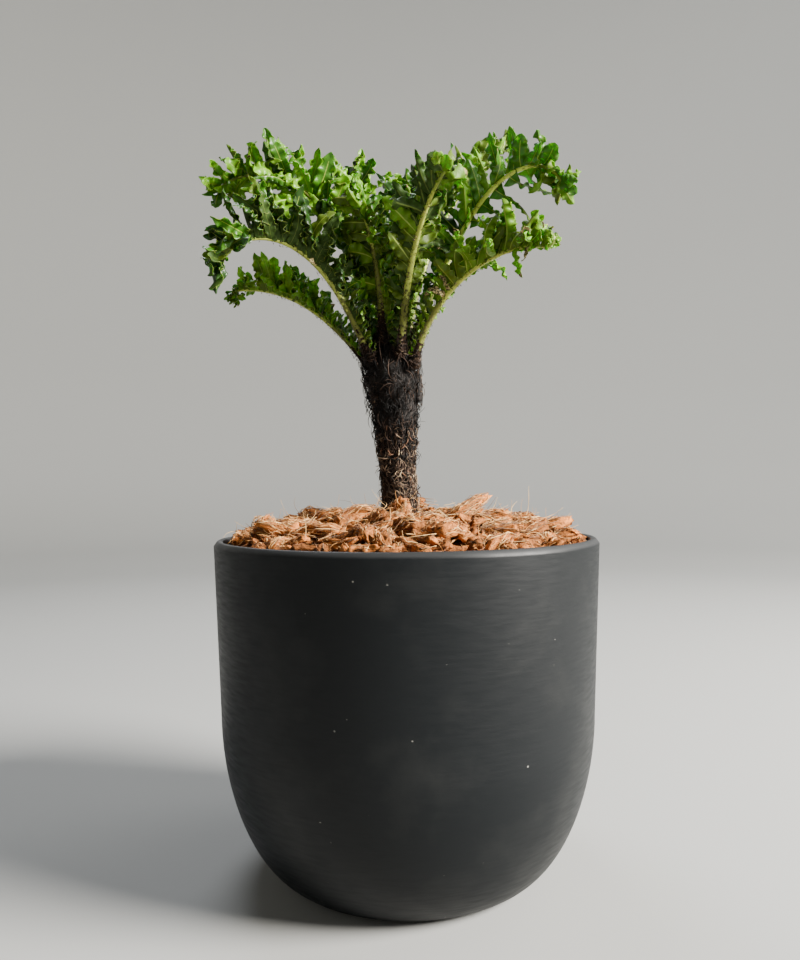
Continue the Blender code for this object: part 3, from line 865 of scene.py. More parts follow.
def torn_husk_materials(husk):
    """Torn coconut husk in three tones: matt, spongy at half a millimetre, blotched with dark red-brown."""
    return [
        grained_material(
            name,
            colour,
            roughness=0.9,
            specular=0.15,
            relief=(0.6, 0.45, 4.0),
            shades=(0.22, 1.15),
            patches=(2.6, 0.38, 0.58),
        )[0]
        for name, colour in (
            ("Torn Coconut Husk", husk.pith),
            # Half the painted recess shade: most small chunks take this look
            ("Dark Torn Coconut Husk", blend(husk.pith, husk.recess_shade, 0.5)),
            ("Bright Torn Coconut Husk", shade(husk.pith, 1.35)),
        )
    ]


def coir_materials(husk):
    """Dry coir, torn from the husk, in four tones: orange-brown, light tan, shaded and red-brown."""
    return [
        fibre_material("Torn Coir Fibre", husk.coir),
        fibre_material("Pale Torn Coir Fibre", husk.pale_coir),
        fibre_material("Shaded Torn Coir Fibre", shade(husk.coir, 0.3)),
        fibre_material("Red-brown Torn Coir Fibre", blend(husk.pith, husk.recess_shade, 0.5)),
    ]


def lay_bed(pot, husk):
    """The bed of crumbled husk: a mound turned round the trunk, with its top roughened."""
    reach = bed_reach(pot)
    low_reach = outer_radius(pot, SOIL_TOP) - pot.wall - GAP
    rings = [reach - (reach - BED_INNER) * step / BED_RINGS for step in range(BED_RINGS + 1)]
    profile = [(0.03, SOIL_TOP + GAP), (low_reach, SOIL_TOP + GAP)]
    profile += [(radius, bed_height(pot, radius) - BED_SINK) for radius in rings]
    bed = turned_piece("husk_bed", profile, steps=120)
    for vertex in bed.data.vertices:
        if vertex.co.z > SOIL_TOP + 2.0 * GAP and vertex.co.xy.length < reach - 0.001:
            crumb = noise.fractal(vertex.co * CRUMB_FINENESS, 1.0, 2.0, 4)
            vertex.co.z += CRUMB_HEIGHT * crumb - CRUMB_SINK
    # The bed is a dark sheet under the chunks: painted shade between them
    bed.data.materials.append(crumbled_pith_material(husk))
    smooth_shade(bed, degrees=50)
    stand_for(bed, "coconut_husk", "husk_mulch")


def lay_chunks(chunks, large, husk):
    """The cores of all chunks: the large ones come first and are finer; the small ones are darker: painted
    shade.
    """
    points, quads, caps, looks, cap_looks, offset = [], [], [], [], [], 0
    draw = random.Random(SEED + 9)
    for number, chunk in enumerate(chunks):
        fineness = LARGE_FINENESS if number < large else SMALL_FINENESS
        core_points, core_quads, core_caps = chunk_mesh(chunk, number, *fineness)
        look = draw.choice(LARGE_LOOKS if number < large else SMALL_LOOKS)
        points.append(core_points)
        quads.append(core_quads + offset)
        caps += [cap[None, :] + offset for cap in core_caps]
        looks += [look] * len(core_quads)
        cap_looks += [look, look]
        offset += len(core_points)
    faces = [np.concatenate(quads)] + caps
    materials = torn_husk_materials(husk)
    cores = mesh_piece("husk_chunks", np.concatenate(points), faces, materials, looks + cap_looks)
    stand_for(cores, "coconut_husk", "husk_mulch")


def lay_strands(chunks, large, husk, coats):
    """Bundles of fibre over the chunks, in shares of four tones: darker on the small ones, as painted shade.
    """
    draw = np.random.default_rng(SEED + 3)
    for name, group, count, shares in (
        ("husk_strands", range(large), husk.strands, LARGE_COIR),
        ("husk_small_strands", range(large, len(chunks)), husk.strands // 6, SMALL_COIR),
    ):
        paths = np.concatenate([chunk_strands(chunks[number], number, count) for number in group])
        radii = husk.fibre_radius * draw.uniform(0.5, 1.6, (len(paths), 1)) * np.array(STRAND_TAPER)
        kinds = draw.choice(len(coats), len(paths), p=shares)
        strands = strand_piece(name, paths, radii, kinds, coats, SEED)
        stand_for(strands, "coconut_husk", "husk_mulch")


def lay_loose_fibres(pot, husk, coats):
    """Single fibres that lie about and stick up from the mulch, without those that would reach the pot."""
    draw = np.random.default_rng(SEED + 4)
    reach = bed_reach(pot)
    count, stations = husk.loose_fibres, LOOSE_STATIONS
    around = draw.uniform(0.0, math.tau, count)
    radius = np.sqrt(draw.uniform(0.03, 0.97, count)) * (reach - 0.003)
    height = np.array([bed_height(pot, value) for value in radius]) + draw.uniform(*LOOSE_LIFTS, count)
    foot = np.stack([radius * np.cos(around), radius * np.sin(around), height], axis=1)
    heading = draw.uniform(0.0, math.tau, count)
    rise = draw.uniform(-0.1, 0.75, count) ** 3 * 1.8
    length = draw.uniform(*LOOSE_LENGTHS, count)
    share = np.linspace(0.0, 1.0, stations)
    curl = draw.normal(0.0, 1.6, (count, 2))
    heading = heading[:, None] + curl[:, :1] * share
    rise = rise[:, None] + curl[:, 1:] * 0.45 * share
    step = np.stack([np.cos(rise) * np.cos(heading), np.cos(rise) * np.sin(heading), np.sin(rise)], axis=2)
    paths = foot[:, None, :] + np.cumsum(step * (length / stations)[:, None, None], axis=1)
    outside = np.linalg.norm(paths[:, :, :2], axis=2) > reach + 0.001
    below = paths[:, :, 2] < SOIL_TOP + 0.002
    paths = paths[~(outside | below).any(axis=1)]
    thickness = husk.fibre_radius * draw.uniform(0.5, 0.95, (len(paths), 1))
    radii = thickness * np.linspace(1.0, 0.35, stations)
    kinds = draw.choice(len(coats), len(paths), p=LOOSE_COIR)
    fibres = strand_piece("husk_fibres", paths, radii, kinds, coats, SEED + 1)
    stand_for(fibres, "coconut_husk", "husk_mulch")


class FERN_OT_mulch(bpy.types.Operator):
    """Lays the bed of coconut husk and the torn chunks on it"""

    bl_idname = "fern.mulch"
    bl_label = "Husk Mulch"

    def execute(self, context):
        pot = context.scene.fern_pot
        husk = context.scene.fern_mulch
        chunks = large_chunks(pot) + standing_chunks() + small_chunks(pot, husk.small_chunks)
        large = len(chunks) - husk.small_chunks
        coats = coir_materials(husk)
        lay_bed(pot, husk)
        lay_chunks(chunks, large, husk)
        lay_strands(chunks, large, husk, coats)
        lay_loose_fibres(pot, husk, coats)
        return {"FINISHED"}


# Trunk


def trunk_axis(height):
    """The middle of the leaning trunk at a height above its foot."""
    return Vector((TRUNK_SHIFT + TRUNK_LEAN * height, 0.0, TRUNK_FOOT + height))


def head_height(radius):
    """Height above the trunk's foot of its domed head, at a distance from the middle."""
    shoulder, widest = TRUNK_RADII[-1]
    return HEAD_TOP - (HEAD_TOP - shoulder) * (radius / widest) ** 2


def trunk_radius(height):
    """The trunk's radius at a height above its foot, through the domed head."""
    shoulder, widest = TRUNK_RADII[-1]
    if height > shoulder:
        return widest * math.sqrt(max(0.0, (HEAD_TOP - height) / (HEAD_TOP - shoulder)))
    for (low, low_radius), (high, high_radius) in zip(TRUNK_RADII, TRUNK_RADII[1:]):
        if height <= high:
            return low_radius + (high_radius - low_radius) * (height - low) / (high - low)
    return widest


def bark_radius(height):
    """The bark's radius, inside the outline that its hair fills."""
    return trunk_radius(height) - 0.0006 - 0.0010 * min(1.0, max(0.0, (0.078 - height) / 0.012))


# Stubs of old fronds, broken off short and curled: azimuth, height of the foot, length, rise at the foot,
# bend and radius
STUBS = (
    (-12, 0.066, 0.0125, 78, 30, 0.0020),
    (-140, 0.066, 0.0080, 76, 40, 0.0018),
    (128, 0.066, 0.0090, 78, 34, 0.0018),
    (52, 0.067, 0.0095, 76, 36, 0.0018),
)


def stub_path(stub, stations):
    """Points down the middle of a stub."""
    azimuth, foot, length, rise, bend, radius = stub
    turn = math.radians(azimuth)
    outward = np.array([math.cos(turn), math.sin(turn), 0.0])
    place = np.array(trunk_axis(foot)) + outward * (trunk_radius(foot) - radius * 0.4)
    slope = np.radians(rise + bend * np.linspace(0.0, 1.0, stations))[:, None]
    step = outward * np.cos(slope) + np.array(UP) * np.sin(slope)
    return place + np.cumsum(step, axis=0) * length / stations


# Points round a stub and down it
STUB_SIDES = 9
STUB_STATIONS = 14


def matted_bark_material(settings):
    """Bark of matted root fibre: matt, nearly black, and rough at a millimetre."""
    return grained_material(
        "Matted Fern Bark",
        settings.bark,
        roughness=0.85,
        specular=0.3,
        relief=(0.9, 0.4, 5.0),
        shades=(0.5, 1.8),
        patches=(1.5, 0.38, 0.58),
    )[0]


def bark_relief(around, height):
    """How far the bark stands out: five ridges of leaf bases wind up it, with grain, strips and bulges."""

    def spot(sideways, upward):
        """The place on the trunk, stretched for a noise of this grain."""
        return Vector((math.cos(around) * sideways, math.sin(around) * sideways, height * upward))

    ridge = math.cos(5.0 * around + height * 95.0)
    grain = noise.fractal(spot(9.0, 110.0), 1.0, 2.0, 5)
    strip = noise.noise(spot(26.0, 160.0))
    bulge = noise.noise(spot(1.6, 70.0))
    return 0.00045 * ridge + 0.0006 * grain + 0.0004 * strip + 0.0007 * bulge


def draw_up_bark(bark):
    """The trunk's bark: turned straight, then roughened and leant over."""
    heights = [0.0005 + (HEAD_TOP - 0.0012) * step / 84.0 for step in range(85)]
    profile = [(0.005, 0.0)] + [(max(0.0012, bark_radius(height)), height) for height in heights]
    trunk = turned_piece("trunk_bark", profile, steps=96)
    for vertex in trunk.data.vertices:
        height = vertex.co.z
        flat = Vector((vertex.co.x, vertex.co.y, 0.0))
        if flat.length > 0.003:
            flat *= 1.0 + bark_relief(math.atan2(flat.y, flat.x), height) / flat.length
        vertex.co = trunk_axis(height) + flat
    trunk.data.materials.append(bark)
    smooth_shade(trunk, degrees=70)
    stand_for(trunk, "trunk_fibre", "trunk")


def draw_up_stubs(bark):
    """The stubs of old fronds, uneven in thickness."""
    draw = np.random.default_rng(SEED + 31)
    count, stations = len(STUBS), STUB_STATIONS
    paths = np.array([stub_path(stub, stations) for stub in STUBS])
    widths = np.array([[stub[-1]] for stub in STUBS])
    uneven = draw.uniform(-0.00025, 0.00025, (count, stations))
    radii = widths * np.linspace(1.0, 0.7, stations) + uneven
    stubs = strand_piece("frond_stubs", paths, radii, np.zeros(count, int), [bark], SEED + 7, STUB_SIDES)
    stand_for(stubs, "trunk_fibre", "trunk")


class FERN_OT_trunk(bpy.types.Operator):
    """Draws up the trunk, with the relief of its bark and the stubs of old fronds"""

    bl_idname = "fern.trunk"
    bl_label = "Trunk"

    def execute(self, context):
        bark = matted_bark_material(context.scene.fern_trunk)
        draw_up_bark(bark)
        draw_up_stubs(bark)
        return {"FINISHED"}


def curly_strands(feet, outward, rise, length, curl, stations, draw):
    """Paths of hairs that leave a surface, turn along it and curl."""
    count = len(feet)
    # Hairs within about 7 mm of each other turn and wave alike, in locks
    places = [Vector(foot) * 150.0 for foot in feet]
    locks = np.array([noise.noise(place) for place in places])[:, None]
    waves = np.array([noise.noise(place + Vector((7.0, 0.0, 0.0))) for place in places])[:, None]
    side = unit(np.cross(np.array(UP), outward))
    share = np.linspace(0.0, 1.0, stations)
    astray = (draw.random((count, 1)) < 0.035) * draw.uniform(0.2, 0.8, (count, 1))
    arch = draw.uniform(0.3, 0.95, (count, 1)) * (1.0 - 2.0 * share)
    lift = arch + np.abs(draw.normal(0.0, 0.1, (count, 1))) + astray
    swing = 1.5 * locks + draw.normal(0.0, 0.3, (count, 1))
    swing = swing + (curl * 3.4 * waves + draw.normal(0.0, 0.9 * curl, (count, 1))) * share
    direction = (
        outward[:, None, :] * np.sin(lift)[:, :, None]
        + side[:, None, :] * (np.cos(lift) * np.sin(swing))[:, :, None]
        + (np.cos(lift) * np.cos(swing) * rise[:, None])[:, :, None] * np.array(UP)
    )
    return feet[:, None, :] + np.cumsum(direction * (length / stations)[:, None, None], axis=1)


# Looks of hair, as its materials are numbered
BLACK_HAIR, BROWN_HAIR, DEAD_FIBRE, BLEACHED_FIBRE, RUST_FIBRE = range(5)
# Points down a trunk hair and a frond hair, and how thick a flake is from its foot to its tip
HAIR_STATIONS = 8
SHORT_STATIONS = 4
FLAKE_TAPER = (0.5, 1.0, 0.9, 0.3)
# Heights above the trunk's foot: where brown hair starts to turn black and over how far, where hair starts to
# stand upright and over how far, and where flakes end
BLACK_FROM, BLACK_OVER = 0.028, 0.026
UPRIGHT_FROM, UPRIGHT_OVER = 0.075, 0.018
FLAKES_TO = 0.054
# Ranges of length and radius
FLAKE_LENGTHS = (0.0014, 0.0058)
FLAKE_RADII = (0.00008, 0.0003)
SHORT_LENGTHS = (0.0006, 0.0021)


def hair_materials(settings):
    """Fern hair, grown: black and half glossy, brown and duller, and dead fibre gone matt and tan."""
    return [
        fibre_material("Black Fern Hair", settings.black_hair, roughness=0.5, sheen=0.0),
        fibre_material("Brown Fern Hair", settings.brown_hair, roughness=0.6, sheen=0.03),
        fibre_material("Dead Fern Fibre", settings.tan_hair, roughness=0.7, sheen=0.05),
    ]


def weathered_fibre_materials(settings):
    """Fibre weathered dry and matt: bleached nearly white, or rust-brown."""
    return [
        fibre_material("Bleached Fern Fibre", settings.pale_fibre, roughness=0.8),
        fibre_material("Rust-brown Fern Fibre", settings.rust_fibre, roughness=0.8),
    ]


def trunk_feet(height, around, proud):
    """Where hairs leave the trunk, this far off its bark, and which way is outward there."""
    outward = np.stack([np.cos(around), np.sin(around), np.zeros(len(height))], axis=1)
    radius = np.array([bark_radius(value) for value in height]) + proud
    return outward * radius[:, None] + np.array([trunk_axis(value) for value in height]), outward


def lit_side(around):
    """How far a place faces the lit front right, from 0 to 1; fibres dealt paler there are painted light."""
    return 0.5 + 0.5 * np.cos(around + 0.7)


def grow_trunk_hair(settings, coats, draw):
    """Curly hair on the trunk: black above, mixed with brown and dead fibre below."""
    count, stations = settings.hairs, HAIR_STATIONS
    height = draw.uniform(0.004, HEAD_TOP - 0.0008, count)
    around = draw.uniform(0.0, math.tau, count)
    feet, outward = trunk_feet(height, around, 0.0001)
    upward = np.clip((height - UPRIGHT_FROM) / UPRIGHT_OVER, 0.0, 1.0)[:, None]
    leaning = unit(outward * (1.0 - 0.75 * upward) + np.array(UP) * upward)
    rise = np.where(draw.random(count) < 0.72, 1.0, -1.0)
    length = settings.hair_length * draw.uniform(0.35, 1.0, count) * (0.65 + 0.35 * height / HEAD_TOP)
    paths = curly_strands(feet, leaning, rise, length, 0.9, stations, draw)
    thickness = settings.hair_radius * draw.uniform(0.6, 1.25, (count, 1))
    radii = thickness * np.linspace(1.0, 0.3, stations)
    upper = np.clip((height - BLACK_FROM) / BLACK_OVER, 0.0, 1.0)
    # Brown hair and dead fibre are dealt more on the lit front right: painted light
    brown = 0.6 - 0.53 * upper + 0.1 * lit_side(around) * upper
    dead = (0.17 + 0.16 * lit_side(around)) * (1.0 - upper)
    pick = draw.random(count)
    kinds = np.where(pick < dead, DEAD_FIBRE, np.where(pick < dead + brown, BROWN_HAIR, BLACK_HAIR))
    hair = strand_piece("trunk_hair", paths, radii, kinds, coats, SEED + 2)
    stand_for(hair, "trunk_fibre", "trunk")


def grow_flakes(settings, coats, draw):
    """Flakes of dead bark and short fibres on the lower trunk, paler at its lit front right: painted light.
    """
    count = settings.flakes
    height = FLAKES_TO * draw.random(count) ** 1.1
    around = draw.uniform(0.0, math.tau, count)
    feet, outward = trunk_feet(height, around, 0.0006)
    rise = draw.choice([1.0, -1.0], count)
    length = draw.uniform(*FLAKE_LENGTHS, count)
    paths = curly_strands(feet, outward, rise, length, 0.9, len(FLAKE_TAPER), draw)
    radii = draw.uniform(*FLAKE_RADII, (count, 1)) * np.array(FLAKE_TAPER)
    # Paler kinds are dealt more on the lit front right: painted light
    pick = draw.random(count) - 0.16 * lit_side(around)
    looks = [BLEACHED_FIBRE, RUST_FIBRE, DEAD_FIBRE, BROWN_HAIR]
    kinds = np.select([pick < -0.09, pick < -0.03, pick < 0.2, pick < 0.62], looks, BLACK_HAIR)
    flake_coats = coats + weathered_fibre_materials(settings)
    flakes = strand_piece("trunk_flakes", paths, radii, kinds, flake_coats, SEED + 6)
    stand_for(flakes, "trunk_fibre", "trunk")


def rib_hair_feet(frond, count):
    """Where hairs leave the foot of a rib, which way they point, and how many times longer they are."""
    path = rib_path(frond)
    chance = random.Random(frond.name)
    for _ in range(count):
        share = 0.8 * chance.random() ** 2.6
        along, across, up = frond_frame(frond, share)
        turn = chance.uniform(0.0, math.tau)
        out = across * math.cos(turn) + up * math.sin(turn)
        foot = on_path(path, share) + out * rib_radius(share) * (0.9 + 0.3 * math.exp(-share / RIB_FLARE))
        leaning = (out + along * chance.uniform(0.2, 1.2)).normalized()
        yield foot, leaning, 1.0 + 1.4 * math.exp(-share / 0.07)


def stub_hair_feet(stub, number):
    """The same for a stub: three hairs at each of 120 places down it."""
    chance = np.random.default_rng(SEED + 50 + number)
    for place in stub_path(stub, 120).repeat(3, axis=0):
        out = unit(chance.normal(size=3))
        yield place + out * stub[-1] * 0.8, out, 1.2


def grow_frond_hair(settings, coats, draw):
    """Short hair round the feet of the ribs and on the stubs."""
    rows = []
    for frond in FRONDS:
        rows += rib_hair_feet(frond, settings.frond_hairs)
    for number, stub in enumerate(STUBS):
        rows += stub_hair_feet(stub, number)
    feet, outward, longer = (np.array(column) for column in zip(*rows))
    count, stations = len(feet), SHORT_STATIONS
    length = draw.uniform(*SHORT_LENGTHS, count) * longer
    rise = draw.choice([1.0, 1.0, -1.0], count)
    paths = curly_strands(feet, outward, rise, length, 1.6, stations, draw)
    thickness = settings.hair_radius * draw.uniform(0.5, 0.9, (count, 1))
    radii = thickness * np.linspace(1.0, 0.3, stations)
    kinds = draw.choice((BLACK_HAIR, BROWN_HAIR, DEAD_FIBRE), count, p=(0.5, 0.42, 0.08))
    scales = strand_piece("frond_hair", paths, radii, kinds, coats, SEED + 3)
    stand_for(scales, "trunk_fibre", "trunk")


class FERN_OT_hair(bpy.types.Operator):
    """Covers the trunk and the feet of the fronds with curly hair"""

    bl_idname = "fern.hair"
    bl_label = "Trunk Hair"

    def execute(self, context):
        settings = context.scene.fern_trunk
        draw = np.random.default_rng(SEED + 21)
        coats = hair_materials(settings)
        grow_trunk_hair(settings, coats, draw)
        grow_flakes(settings, coats, draw)
        grow_frond_hair(settings, coats, draw)
        return {"FINISHED"}


# Fronds


def frond_frame(frond, share):
    """The rib's direction, and the directions across it and up from it, at a share of its length."""
    straight = min(share, 1.0)
    rise = math.radians(frond.rise_foot + (frond.rise_tip - frond.rise_foot) * straight**frond.bend)
    rise += math.radians(frond.coil) * (max(0.0, share - COIL_START) / (COIL_END - COIL_START)) ** 1.5
    azimuth = math.radians(frond.azimuth + frond.sweep * straight)
    along = Vector((math.cos(rise) * math.cos(azimuth), math.cos(rise) * math.sin(azimuth), math.sin(rise)))
    level = Vector((math.sin(azimuth), -math.cos(azimuth), 0.0))
    across = Quaternion(along, math.radians(frond.roll * straight)) @ level
    return along, across, across.cross(along)


def rib_end(frond):
    """The share at which a rib ends: past 1 where its tip is coiled."""
    return COIL_END if frond.coil else 1.0


def rib_radius(share):
    """A rib's radius at a share of its length."""
    return RIB_FOOT_RADIUS + (RIB_TIP_RADIUS - RIB_FOOT_RADIUS) * share


def rib_seat(frond):
    """Where the rib's foot stands, one gap off the trunk's domed head and square to the rib."""
    shoulder, widest = TRUNK_RADII[-1]
    azimuth = math.radians(frond.azimuth)
    outward = Vector((math.cos(azimuth), math.sin(azimuth), 0.0))
    slope = 2.0 * (HEAD_TOP - shoulder) * frond.seat / widest**2
    along = frond_frame(frond, 0.0)[0]
    cosine = along.dot((outward * slope + UP).normalized())
    lift = (GAP + RIB_FOOT_RADIUS * math.sqrt(1.0 - cosine**2)) / cosine
    return trunk_axis(head_height(frond.seat)) + outward * frond.seat + along * lift


def rib_path(frond):
    """Points down the middle of the rib, found by following its direction in small steps."""
    path = [rib_seat(frond)]
    for step in range(round(rib_end(frond) * PATH_STEPS)):
        along = frond_frame(frond, (step + 0.5) / PATH_STEPS)[0]
        path.append(path[-1] + along * frond.length / PATH_STEPS)
    return path


def on_path(path, share):
    """The point at a share of the way down a rib."""
    run = min(max(share, 0.0) * PATH_STEPS, len(path) - 1.0)
    before = min(int(run), len(path) - 2)
    return path[before].lerp(path[before + 1], run - before)


def leaflet_length(frond, share, side):
    """Short at the frond's foot, longest past its middle (further up on outer fronds), short at the tip."""
    outer = frond.seat > 0.0091
    swell = max(0.0, math.sin(math.pi * min(share, 1.0) ** (2.1 if outer else 1.8)))
    length = SHORT_LEAFLET + (frond.leaflets[side > 0] - SHORT_LEAFLET) * swell
    if frond.coil:
        length *= 1.0 - 0.5 * min(1.0, max(0.0, share - 0.76) / 0.16)
    return length


def leaflet_crowd(frond, share, side):
    """How many times closer than even leaflets stand; the tip is never thinned."""
    crowd = frond.crowds[side > 0]
    return crowd if share < 0.8 else max(1.0, crowd)


def leaflet_shares(frond, side, settings):
    """Where leaflets stand along a rib: crowded at its foot, further apart past its middle."""
    shares = []
    run = frond.length * (0.03 + 0.01 * side)
    while run < frond.length * (rib_end(frond) - 0.015):
        shares.append(run / frond.length)
        crowd = min(1.0, shares[-1] / 0.55)
        coiled = 0.3 if frond.coil and shares[-1] > COIL_START else 1.0
        spacing = settings.foot_spacing + (settings.leaflet_spacing - settings.foot_spacing) * crowd
        run += spacing * coiled / leaflet_crowd(frond, shares[-1], side) ** crowd
    return shares


def leaflet_pose(frond, share, side, length, draw, spread):
    """How a leaflet stands: vee, lean, twist, curl and slimness, strayed more the nearer it is to the tip."""
    straight = min(share, 1.0)
    hand = side > 0
    wild = 7.0 + 21.0 * straight
    grown = min(1.0, length / GROWN_LEAFLET)
    vee = VEE_FOOT + (frond.vees[hand] - VEE_FOOT) * straight + wild * draw.gauss(0.0, 0.75)
    if draw.random() < 0.5 * (frond.crowds[hand] - 1.0):
        # Where leaflets crowd each other, some are pushed up over the rib
        vee += CROWDED_LIFT
    lean = frond.leans[hand] * (0.5 + 0.5 * straight) + 11.0 + wild * draw.gauss(0.0, 0.6) + spread
    comb = max(0.0, 1.0 - straight / COMB_END) ** 0.6
    edge_on = math.copysign(COMB_TWIST, frond.twists[hand])
    twist = frond.twists[hand] + (edge_on - frond.twists[hand]) * comb + wild * draw.gauss(0.0, 1.2)
    curl = (draw.gauss(0.25, 0.8) + 1.3 * (draw.random() < 0.16)) * grown
    if share > COIL_START and frond.coil:
        curl = 1.6 + draw.uniform(-0.5, 0.8)
    if share < 0.3:
        # The small leaflets at the foot are curled like a frill
        curl += 1.6 * (1.0 - share / 0.3)
    slim = draw.uniform(0.66, 1.18) * min(1.0, leaflet_crowd(frond, share, side))
    return vee, lean, twist, curl, slim


Habit = namedtuple("Habit", "tip_twist sway fold ruffle phase lag wobble tip_power")


def leaflet_habit(grown, settings, draw):
    """How one leaflet differs from the next, drawn in this order."""
    return Habit(
        tip_twist=draw.gauss(0.0, 0.8) * grown,
        sway=draw.gauss(0.0, 0.4) * grown,
        fold=math.radians(draw.uniform(0.0, 58.0)),
        ruffle=math.radians(settings.ruffle_angle) * draw.uniform(0.45, 1.15),
        phase=draw.uniform(0.0, math.tau),
        lag=draw.uniform(1.2, 3.6),
        wobble=draw.uniform(0.0, math.tau),
        tip_power=draw.uniform(1.5, 3.6),
    )


def leaflet_spine(frond, path, share, side, length, rows, pose, habit):
    """Points down a leaflet's midrib, with the directions across the leaflet and out of its face."""
    along, across, up = frond_frame(frond, share)
    grown = min(1.0, length / GROWN_LEAFLET)
    vee, lean, twist_end, curl, _ = pose
    vee, lean, twist_end = math.radians(vee), math.radians(lean), side * math.radians(twist_end)
    heading = across * side * math.cos(vee) + up * math.sin(vee)
    heading = heading * math.cos(lean) + along * math.sin(lean)
    square = (along - heading * along.dot(heading)).normalized()
    point = on_path(path, share) + across * side * rib_radius(share) * 0.85
    middle, breadth, facing = np.zeros((3, rows, 3))
    for row in range(rows):
        reach = row / (rows - 1)
        settle = min(1.0, reach / 0.3)
        twist = twist_end * settle * settle * (3.0 - 2.0 * settle)
        twist += habit.tip_twist * max(0.0, reach - 0.35) * 1.5
        wide = Quaternion(heading, twist) @ square
        normal = heading.cross(wide).normalized()
        middle[row], breadth[row], facing[row] = point, wide, normal
        bend = curl * (0.3 + 1.4 * reach) + 0.9 * grown * math.sin(reach * 8.0 + habit.wobble)
        heading = (heading + (normal * bend + wide * habit.sway) / (rows - 1)).normalized()
        square = (square - heading * heading.dot(square)).normalized()
        point = point + heading * (length / (rows - 1))
    return middle, breadth, facing


def leaflet_half(reach, wave, phase, foot, widest, habit):
    """How far out and how high the columns of half a leaflet stand: ruffled and a little lobed."""
    opened = np.clip(reach / 0.2, 0.0, 1.0)
    blade = (1.0 - np.clip((reach - 0.5) / 0.5, 0.0, 1.0) ** habit.tip_power) ** 0.72
    lobes = 1.0 + 0.09 * np.sin(wave + phase + 0.8) * np.clip(reach * 4.0, 0.0, 1.0)
    width = (foot * (1.0 - opened) + widest * np.maximum(blade, 0.04) * opened) * lobes
    calm = np.clip(reach * 3.5, 0.0, 1.0) * np.clip((1.05 - reach) * 4.0, 0.0, 1.0)
    inner = width * LEAF_MARGINS[0]
    level = np.zeros_like(width)
    columns = [(inner, level)]
    for low, high in zip(LEAF_MARGINS, LEAF_MARGINS[1:]):
        ruffled = habit.ruffle * calm * np.sin(wave + phase) * ((low + high) / 2.0) ** 1.2
        tilt = habit.fold * opened + ruffled
        inner = inner + width * (high - low) * np.cos(tilt)
        level = level + width * (high - low) * np.sin(tilt)
        columns.append((inner, level))
    return columns


def leaflet_mesh(frond, path, share, spacing, side, length, pose, draw, settings):
    """Points of a crisped leaflet, as two skins of rows and columns.

    Its margins are longer than its midrib, so they stand up and down in ruffles.
    """
    habit = leaflet_habit(min(1.0, length / GROWN_LEAFLET), settings, draw)
    rows = max(LEAST_ROWS, int(length / settings.wave_length * WAVE_ROWS) + 3)
    widest = min(settings.leaflet_width, 0.46 * length + 0.0010) * 0.5 * pose[-1]
    middle, breadth, facing = leaflet_spine(frond, path, share, side, length, rows, pose, habit)
    reach = np.linspace(0.0, 1.0, rows)[:, None]
    wave = reach * length / min(settings.wave_length * draw.uniform(0.75, 1.3), 0.62 * length) * math.tau
    wave += 0.7 * np.sin(wave * 0.38 + habit.wobble)
    first, second = (
        leaflet_half(reach, wave, phase, spacing * 0.56, widest, habit)
        for phase in (habit.phase, habit.phase + habit.lag)
    )
    acrosses = [-inner for inner, _ in reversed(first)] + [inner for inner, _ in second]
    levels = [level for _, level in reversed(first)] + [level for _, level in second]
    flat = np.concatenate(acrosses, axis=1)[:, :, None]
    stand = np.concatenate(levels, axis=1)[:, :, None]
    sheet = middle[:, None, :] + breadth[:, None, :] * flat + facing[:, None, :] * stand
    normal = unit(np.cross(np.gradient(sheet, axis=0), np.gradient(sheet, axis=1)))
    thick = np.array(LEAF_THICKNESS)[:, None]
    return sheet, sheet - normal * side * thick * (1.0 - 0.5 * reach[:, :, None])


def skin_faces(rows, columns, side, offset):
    """Faces of a closed sheet: the upper skin, the lower skin, and the rim between them."""
    grid = np.arange(rows * columns).reshape(rows, columns)
    a, b, c, d = grid[:-1, :-1], grid[:-1, 1:], grid[1:, 1:], grid[1:, :-1]
    upper = np.stack([a, d, c, b] if side > 0 else [a, b, c, d], axis=-1).reshape(-1, 4)
    lower = upper[:, ::-1] + rows * columns
    border = np.concatenate([grid[0, :], grid[1:, -1], grid[-1, -2::-1], grid[-2:0:-1, 0]])
    following = np.roll(border, -1)
    if side > 0:
        rim = np.stack([border, following, following + rows * columns, border + rows * columns], axis=-1)
    else:
        rim = np.stack([following, border, border + rows * columns, following + rows * columns], axis=-1)
    return upper + offset, lower + offset, rim + offset


def leaf_material(name, colour, roughness, specular, glow, gloss):
    """Living leaf: waxy and half glossy, a little light passing through, its skin uneven at a millimetre."""
    made, shader = grained_material(
        name,
        colour,
        roughness,
        specular,
        relief=(1.3, 0.16, 2.0),
        shades=(0.78, 1.12),
        patches=(3.4, 0.35, 0.65),
    )
    shader.inputs["Subsurface Weight"].default_value = glow
    shader.inputs["Subsurface Radius"].default_value = (0.35, 1.0, 0.15)
    shader.inputs["Subsurface Scale"].default_value = 0.0012
    shader.inputs["Coat Weight"].default_value = gloss
    shader.inputs["Coat Roughness"].default_value = 0.16
    return made


